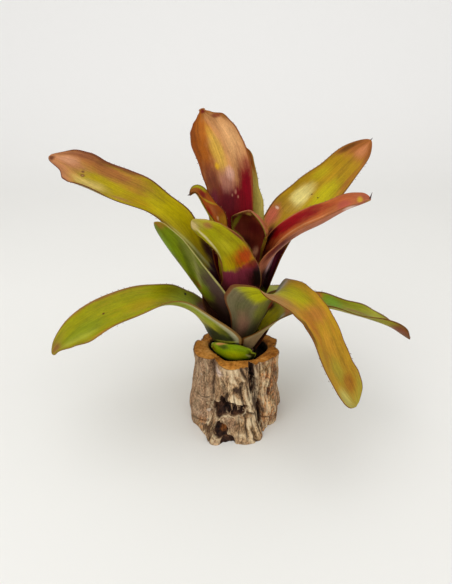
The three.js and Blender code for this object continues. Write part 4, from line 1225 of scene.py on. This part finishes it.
class Skin:
    """Rings of points joined into one closed surface, with masks at every point."""

    def __init__(self, *names):
        self.points, self.faces, self.rings = [], [], []
        self.masks = {name: [] for name in names}

    def add(self, points, masks):
        start = sum(map(len, self.points))
        points = np.atleast_2d(points)
        self.points.append(points)
        for name, values in self.masks.items():
            values.append(np.broadcast_to(masks.get(name, 0.0), (len(points),)))
        return np.arange(start, start + len(points))

    def join(self, *corners):
        self.faces += np.stack(corners, axis=1).tolist()

    def ring(self, points, **masks):
        ids = self.add(points, masks)
        if self.rings:
            below = self.rings[-1]
            self.join(below, np.roll(below, -1), np.roll(ids, -1), ids)
        self.rings.append(ids)

    def close(self, ring, point, upward, **masks):
        ring = self.rings[ring] if upward else self.rings[ring][::-1]
        self.join(ring, np.roll(ring, -1), np.full_like(ring, self.add(point, masks)[0]))

    def build(self, name, material):
        masks = {key: np.concatenate(values) for key, values in self.masks.items()}
        mesh = new_mesh(name, np.concatenate(self.points) * MM, faces=self.faces, **masks)
        mesh.shade_smooth()
        mesh.materials.append(material)
        return placed(name, mesh)


def log_finish():
    """Weathered bark outside, with painted highlights on its ridge crests and painted shade in the creases
    between lobes; torn wood in the hollows, darkened with painted shade; a raw sawn top, painted brighter to
    make up for the leaves' shade; and a pocket wall painted near-black as shade.
    """
    material, w, shader = new_finish("log_wood_finish", specular_ior_level=0.15)
    grey = wood(w, 0x664C36, 0x96775C, 0xB2967A)
    pale = wood(w, 0x745432, 0xB4936A, 0xE2CAA0, 700.0, 0.22)
    ruddy = wood(w, 0x6E3A1E, 0xBA7E4A, 0xEABE86, 520.0, 0.3)
    # The sawn top's orange, painted brighter than the wood is, to make up for the shade the leaves cast on
    # it.
    sawn = wood(w, 0x96581E, 0xE09440, 0xF8BC68, 420.0, 1.0)
    # Torn wood for the hollows; its near-black dark end is painted shade.
    torn = wood(w, 0x0C0606, 0x3A241A, 0x7A5236, 600.0, 0.5)
    place = w.place()
    colour = w.tint(w.mask("pale"), grey["Color"], pale["Color"])
    cloud = w.smooth(0.42, 0.56, w.noise(place, 240.0, 4.0))
    colour = w.tint(w.times(cloud, w.mask("ruddy")), colour, ruddy["Color"])
    speck = w.noise(w.vector("MULTIPLY", place, (1, 1, 0.5)), 1500.0, 3.0, 0.65)
    shade = w.line(speck, 4.2, -1.12)
    colour = w.tint(1.0, colour, w.combine(shade, shade, shade), "MULTIPLY")
    fine = w.smooth(0.3, 0.62, w.noise(w.vector("MULTIPLY", place, (1, 1, 0.3)), 900.0, 4.0, 0.6))
    # Painted highlight: the ridge crests turn pale cream.
    colour = w.tint(w.times(w.mask("crest"), w.line(fine, 0.5, 0.45)), colour, 0xE8D0A8)
    colour = w.tint(w.times(w.mask("chips"), fine), colour, 0xE6CFC0)
    # Cracks in the bark take their own dark brown; the creases between lobes take the same colour as painted
    # shade.
    crack = w.math("MAXIMUM", w.mask("crack"), w.mask("crease"))
    colour = w.tint(w.times(crack, 0.9), colour, 0x33221A)
    # The hollows take the torn wood, with orange in places; the torn wood's near-black is painted shade.
    inner = w.tint(w.times(w.mask("orange"), fine), torn["Color"], 0xA8642C)
    colour = w.tint(w.smooth(0.2, 0.65, w.mask("hollow")), colour, inner)
    lip = w.times(w.smooth(0.5, 1.0, w.mask("lip")), fine)
    colour = w.tint(w.times(lip, 0.8), colour, 0xE2CCA4)
    colour = w.tint(w.mask("sawn"), colour, sawn["Color"])
    # Painted shade: the pocket wall inside the rim turns near-black.
    colour = w.tint(w.mask("inside"), colour, 0x100C06)
    w.plug(shader["Base Color"], colour)
    w.plug(shader["Roughness"], w.line(cloud, -0.15, 0.92))
    relief(w, shader, w.blend(w.mask("pale"), grey["Height"], pale["Height"]), 0.6, 0.4 * MM)
    return material


def build_log():
    azimuth = np.arange(LOG_COLUMNS) * 360 / LOG_COLUMNS
    skin = Skin("crack", "crease", "hollow", "flakes", "pale", "ruddy", "crest", "lip", "chips",
                "orange", "sawn", "inside")
    top = log_top(azimuth)
    lip = 0.3 * layered(azimuth, 0 * azimuth, 50, 1, 41)
    for up in np.linspace(0, 1, LOG_ROWS):
        radius, masks = bark(azimuth, up * LOG_HEIGHT)
        height = up * (top + lip * smoothstep(0.9, 1, up))
        skin.ring(polar(radius, azimuth, height), **masks)
    edge, _ = bark(azimuth, np.full_like(azimuth, LOG_HEIGHT))
    for inwards in CUT_RINGS:
        reach = mix(edge, pocket_radius(azimuth), inwards)
        fuzz = 0.22 * layered(azimuth, reach, 120, 1.2, 51)
        height = top + lip * (1 - inwards) - 0.1 - 0.9 * inwards + fuzz
        sawn = smoothstep(0, 0.12, inwards)
        skin.ring(polar(reach, azimuth, height), sawn=sawn)
    # The inside mask paints shade down the pocket wall.
    for height in POCKET_RINGS:
        torn = 0.25 * layered(azimuth, np.full_like(azimuth, height), 90, 3, 61)
        skin.ring(polar(pocket_radius(azimuth) + np.abs(torn), azimuth, height),
                  inside=smoothstep(42, 36, height))
    skin.close(-1, (0, 0, POCKET_FLOOR), True, inside=1.0)
    skin.close(0, (0, 0, 0), False)
    log = skin.build("wood_log_bark", log_finish())
    settle(log, "log_wood", "wood_log")
    return log


# ---- The growing medium and the stem ----


def medium_finish():
    material, w, shader = new_finish("growing_medium_finish", roughness=0.95)
    place = w.place()
    speck = w.noise(place, 1400.0, 4.0, 0.7)
    colour = w.tint(w.smooth(0.35, 0.55, speck), 0x0E0906, 0x33211A)
    fibre = w.smooth(0.58, 0.68, w.noise(place, 600.0, 4.0, 0.65))
    w.plug(shader["Base Color"], w.tint(fibre, colour, 0x6E4E30))
    relief(w, shader, speck, 0.8, 0.5 * MM)
    return material


def build_medium():
    """Fibrous chips packed round the stem, up to just below the rim."""
    azimuth = np.arange(MEDIUM_COLUMNS) * 360 / MEDIUM_COLUMNS

    def lump(turned=0):
        a = np.radians(azimuth + turned)
        return LUMP_HEIGHT * (np.sin(5 * a) + np.sin(11 * a + math.radians(30)) - 2)

    skin = Skin()
    outer = pocket_radius(azimuth) - FIT_GAP
    skin.ring(polar(outer, azimuth, MEDIUM_FOOT))
    for up in (0.25, 0.5, 0.75, 1):
        skin.ring(polar(outer, azimuth, mix(MEDIUM_FOOT, MEDIUM_TOP + lump(), up)))
    for inwards in (0.06, 0.14, 0.24, 0.36, 0.5, 0.64, 0.78, 0.9, 1):
        reach = mix(outer, STEM_HOLE, inwards)
        height = mix(MEDIUM_TOP + lump(), MEDIUM_TOP - 0.5 + lump(25) * (1 - inwards), inwards)
        crumb = 0.4 * layered(azimuth, reach, 50, 1.6, 71)
        skin.ring(polar(reach, azimuth, height - np.abs(crumb) * math.sin(math.pi * inwards)))
    for height in (28, 21, STEM_HOLE_FLOOR):
        skin.ring(polar(STEM_HOLE, azimuth, height))
    skin.close(-1, (0, 0, STEM_HOLE_FLOOR), True)
    skin.close(0, (0, 0, MEDIUM_FOOT), False)
    medium = skin.build("growing_medium_fill", medium_finish())
    settle(medium, "growing_medium", "growing_medium")
    return medium


def dress_stem():
    """The stem keeps its own shape and takes a rough brown skin ringed by old leaf scars."""
    material, w, shader = new_finish("stem_finish", roughness=0.8)
    place = w.place()
    rings = w.add("TexWave", {"Vector": place, "Scale": 130.0, "Distortion": 3.0},
                  bands_direction="Z")
    rings = w.line(w.noise(place, 500.0, 4.0), 0.5, rings)
    colour = w.tint(w.smooth(0.4, 1.1, rings), 0x2E1A12, 0x7A5A34)
    w.plug(shader["Base Color"], colour)
    relief(w, shader, rings, 0.6, 0.3 * MM)
    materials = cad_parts["stem"].data.materials
    materials.clear()
    materials.append(material)


# ---- Loose splinters, flakes and chips ----


def make_scatter():
    """Small pieces strewn over the parts of a surface where its attribute allows them."""
    w, given, result = new_tree("scatter", {
        "Surface": SHAPE, "Where": VALUE, "Piece": SHAPE, "Density": 40000.0, "Seed": 1,
        "Sink": 0.0, "Lean": 0.4,
    })
    seed, lean = given["Seed"], given["Lean"]
    points = w.add("DistributePointsOnFaces", {
        "Mesh": given["Surface"], "Density": w.times(given["Density"], given["Where"]),
        "Seed": seed,
    }, None).outputs
    back = w.times(lean, -1.0)
    turned = w.add("FunctionNodeRandomValue", {
        0: w.combine(back, back, -math.pi), 1: w.combine(lean, lean, math.pi), "Seed": seed,
    }, data_type="FLOAT_VECTOR")
    rotation = w.add("FunctionNodeRotateRotation", {0: points["Rotation"], 1: turned},
                     rotation_space="LOCAL")
    size = w.add("FunctionNodeRandomValue", {2: 0.5, 3: 1.2, "Seed": w.plus(seed, 7.0)}, 1)
    sunk = w.scaled(points["Normal"], w.times(given["Sink"], -1.0))
    places = w.add("SetPosition", {"Geometry": points["Points"], "Offset": sunk})
    w.plug(result["Shape"], w.add("InstanceOnPoints", {
        "Points": places, "Instance": given["Piece"], "Rotation": rotation, "Scale": size,
    }))
    return w.tree


def strew(w, given, result, scatter, piece, where, **more):
    """Strews a piece over the tree's own surface and closes the tree."""
    inputs = {key: given[key] for key in ("Surface", "Density", "Seed")}
    shape = w.group(scatter, {"Piece": piece, "Where": where, **inputs, **more})
    return finish_tree(w, given, result, shape)


def make_bark_flakes(scatter):
    """Thin plates of dead bark lifting from the trunk."""
    w, given, result = new_tree("bark_flakes", {
        "Surface": SHAPE, "Density": 60000.0, "Width": 0.9 * MM, "Thickness": 0.25 * MM,
        "Seed": 5, "Finish": FINISH,
    })
    plate = w.add("MeshCylinder", {
        "Vertices": 7, "Radius": given["Width"], "Depth": given["Thickness"],
    }, fill_type="NGON")
    uneven = w.add("FunctionNodeRandomValue", {
        0: (-0.3 * MM, -0.3 * MM, 0), 1: (0.3 * MM, 0.3 * MM, 0), "Seed": given["Seed"],
    }, data_type="FLOAT_VECTOR")
    plate = w.add("SetPosition", {"Geometry": plate, "Offset": uneven})
    return strew(w, given, result, scatter, plate, w.field("flakes"), Lean=0.25)


def make_splinters():
    """Torn slivers of wood standing at given points along given headings."""
    w, given, result = new_tree("splinters", {
        "Places": SHAPE, "Sliver Length": 2.4 * MM, "Sliver Width": 0.3 * MM, "Seed": 9,
        "Finish": FINISH,
    })
    width = given["Sliver Width"]
    sliver = w.add("MeshCone", {
        "Vertices": 5, "Side Segments": 2, "Radius Top": w.times(width, 0.15),
        "Radius Bottom": width, "Depth": given["Sliver Length"],
    }, fill_type="TRIANGLE_FAN")
    scale = w.add("FunctionNodeRandomValue", {
        0: (0.5, 1.4, 0.4), 1: (1.1, 2.6, 1.3), "Seed": given["Seed"],
    }, data_type="FLOAT_VECTOR")
    return finish_tree(w, given, result, stand(w, given["Places"], sliver, scale))


def make_medium_chips(scatter):
    """Crumbs and short lengths of bark over the top of the growing medium."""
    w, given, result = new_tree("medium_chips", {
        "Surface": SHAPE, "Density": 250000.0, "Chip Size": 0.7 * MM, "Seed": 11, "Finish": FINISH,
    })
    size = given["Chip Size"]
    chip = w.add("MeshCube", {"Size": w.combine(size, w.times(size, 2.2), w.times(size, 0.5))})
    level = w.add("ShaderNodeSeparateXYZ", {0: w.add("InputNormal")}, 2)
    height = w.add("ShaderNodeSeparateXYZ", {0: w.add("InputPosition")}, 2)
    high = w.above(height, CHIPS_ABOVE * MM)
    where = w.times(high, w.above(level, 0.4))
    return strew(w, given, result, scatter, chip, where, Sink=0.1 * MM, Lean=0.7)


def wood_finish(name, roughness, *grained):
    material, w, shader = new_finish(name, roughness=roughness)
    grain_outputs = wood(w, *grained)
    w.plug(shader["Base Color"], grain_outputs["Color"])
    relief(w, shader, grain_outputs["Height"], 0.5, 0.2 * MM)
    return material


# Where slivers stand: azimuth from and to, height at each, how many, and how far they tip
# out from upright.
SLIVER_BANDS = [
    (228, 246, 2.5, 3.5, 60, 0.3),
    (255, 273, 21.6, 20.6, 14, 0.4),
    (258, 278, 14.2, 17.2, 12, 0.3),
    (284, 291, 38.0, 25.0, 16, 0.2),
    (314, 328, 5.5, 2.5, 22, 0.3),
]
# The share of the slivers that hang down, and the height above which they may.
FALLEN_SHARE = 0.4
FALLEN_ABOVE = 9


def sliver_places():
    """Points and headings of the slivers in every band."""
    rng = np.random.default_rng(17)
    points, headings = [], []
    for start, stop, first, last, count, tip in SLIVER_BANDS:
        share = rng.uniform(0, 1, count)
        azimuth = mix(start, stop, share)
        height = np.maximum(mix(first, last, share) + rng.normal(0, 0.9, count), 0.6)
        radius, _ = bark(azimuth, height)
        points.append(polar(radius + 0.05, azimuth, height))
        out = polar(1, azimuth, 0)
        fallen = (rng.uniform(0, 1, count) < FALLEN_SHARE) & (height > FALLEN_ABOVE)
        upwards = np.where(fallen, -1.0, 1.0)[:, None] * (0, 0, 1)
        aside = polar(1, azimuth + 90, 0) * rng.normal(0, 0.14, count)[:, None]
        headings.append(unit(upwards + out * tip * rng.uniform(0, 1, count)[:, None] + aside))
    headings = np.concatenate(headings)
    return new_mesh("sliver_places", np.concatenate(points) * MM, heading=headings)


def strew_debris(log, medium):
    scatter = make_scatter()
    finish = wood_finish("bark_flake_finish", 0.9, 0x4A3424, 0x93795E, 0xD2BDA6, 380.0, 0.6)
    settle(grown("bark_flakes", log.data, make_bark_flakes(scatter), finish), "log_wood")
    finish = wood_finish("splinter_finish", 0.85, 0x5E3E28, 0xB08C66, 0xE8D6B4, 500.0, 0.3)
    settle(grown("torn_slivers", sliver_places(), make_splinters(), finish), "log_wood")
    chips = grown("medium_chips", medium.data, make_medium_chips(scatter), medium_finish())
    settle(chips, "growing_medium")


# ---- Camera, light and floor ----

FILM = 36
# The focal length as a share of the frame's height, and the degrees the camera looks down.
FOCAL_SHARE = 434.4 / 584
CAMERA_TILT = 25.61
LAMPS_AIM_AT = 0.08


def set_camera():
    data = bpy.data.cameras.new("camera")
    data.sensor_fit, data.sensor_width, data.sensor_height = "VERTICAL", FILM, FILM
    data.lens = FILM * FOCAL_SHARE
    data.clip_start, data.clip_end = 0.01, 20
    camera = placed("camera", data)
    camera.location = (-0.0064, -0.1993, 0.1685)
    camera.rotation_euler = (math.radians(90 - CAMERA_TILT), 0, 0)
    bpy.context.scene.camera = camera


def add_lamp(name, place, size, power):
    data = bpy.data.lights.new(name, "AREA")
    data.shape, data.size, data.energy = "DISK", size, power
    lamp = placed(name, data)
    lamp.location = place
    aim = np.array((0, 0, LAMPS_AIM_AT)) - np.array(place)
    turn = math.atan2(aim[1], aim[0])
    pitch = math.atan2(math.hypot(aim[0], aim[1]), -aim[2])
    lamp.rotation_euler = (pitch, 0, turn - math.pi / 2)


def set_light():
    world = bpy.data.worlds.new("soft_room")
    world.use_nodes = True
    background = world.node_tree.nodes["Background"]
    background.inputs["Color"].default_value = (0.985, 0.985, 0.985, 1)
    background.inputs["Strength"].default_value = 0.86
    bpy.context.scene.world = world
    add_lamp("top_softbox", (-0.15, -0.1, 0.75), 0.7, 1.5)
    add_lamp("front_left_softbox", (-0.55, -0.5, 0.45), 0.5, 0.9)
    add_lamp("right_softbox", (0.6, -0.15, 0.35), 0.4, 0.4)


# Metres: how far behind the plant the floor starts to curve up, and the radius of the curve.
FLOOR_BACK = 0.6
FLOOR_CURVE = 0.7
FLOOR_STEPS = 16


def lay_floor():
    """A pale floor that curves up into a backdrop behind the plant."""
    material, w, shader = new_finish("floor_finish", roughness=0.9, specular_ior_level=0.1)
    place = w.place()
    # Painted light: the floor pales towards the back, so the backdrop, which the lamps reach less, comes out
    # as bright as the front.
    back = w.smooth(0.2, 1.3, w.add("SeparateXYZ", {0: place}, 1))
    near = w.tint(w.noise(place, 3.0), 0xE5E4E0, 0xE9E8E4)
    w.plug(shader["Base Color"], w.tint(back, near, 0xFAF9F7))
    profile = [(-3.0, 0.0), (FLOOR_BACK, 0.0)]
    for k in range(1, FLOOR_STEPS + 1):
        a = math.radians(k * 90 / FLOOR_STEPS)
        profile.append((FLOOR_BACK + FLOOR_CURVE * math.sin(a), FLOOR_CURVE * (1 - math.cos(a))))
    profile.append((FLOOR_BACK + FLOOR_CURVE, 3.0))
    points = [(x, y, z) for y, z in profile for x in (-4.0, 4.0)]
    faces = [(2 * k, 2 * k + 1, 2 * k + 3, 2 * k + 2) for k in range(len(profile) - 1)]
    mesh = new_mesh("floor", points, faces=faces)
    mesh.shade_smooth()
    mesh.materials.append(material)
    floor = placed("floor", mesh)


set_camera()
set_light()
lay_floor()
log = build_log()
medium = build_medium()
dress_stem()
build_leaves()
strew_debris(log, medium)

bpy.context.scene.view_settings.view_transform = "Standard"
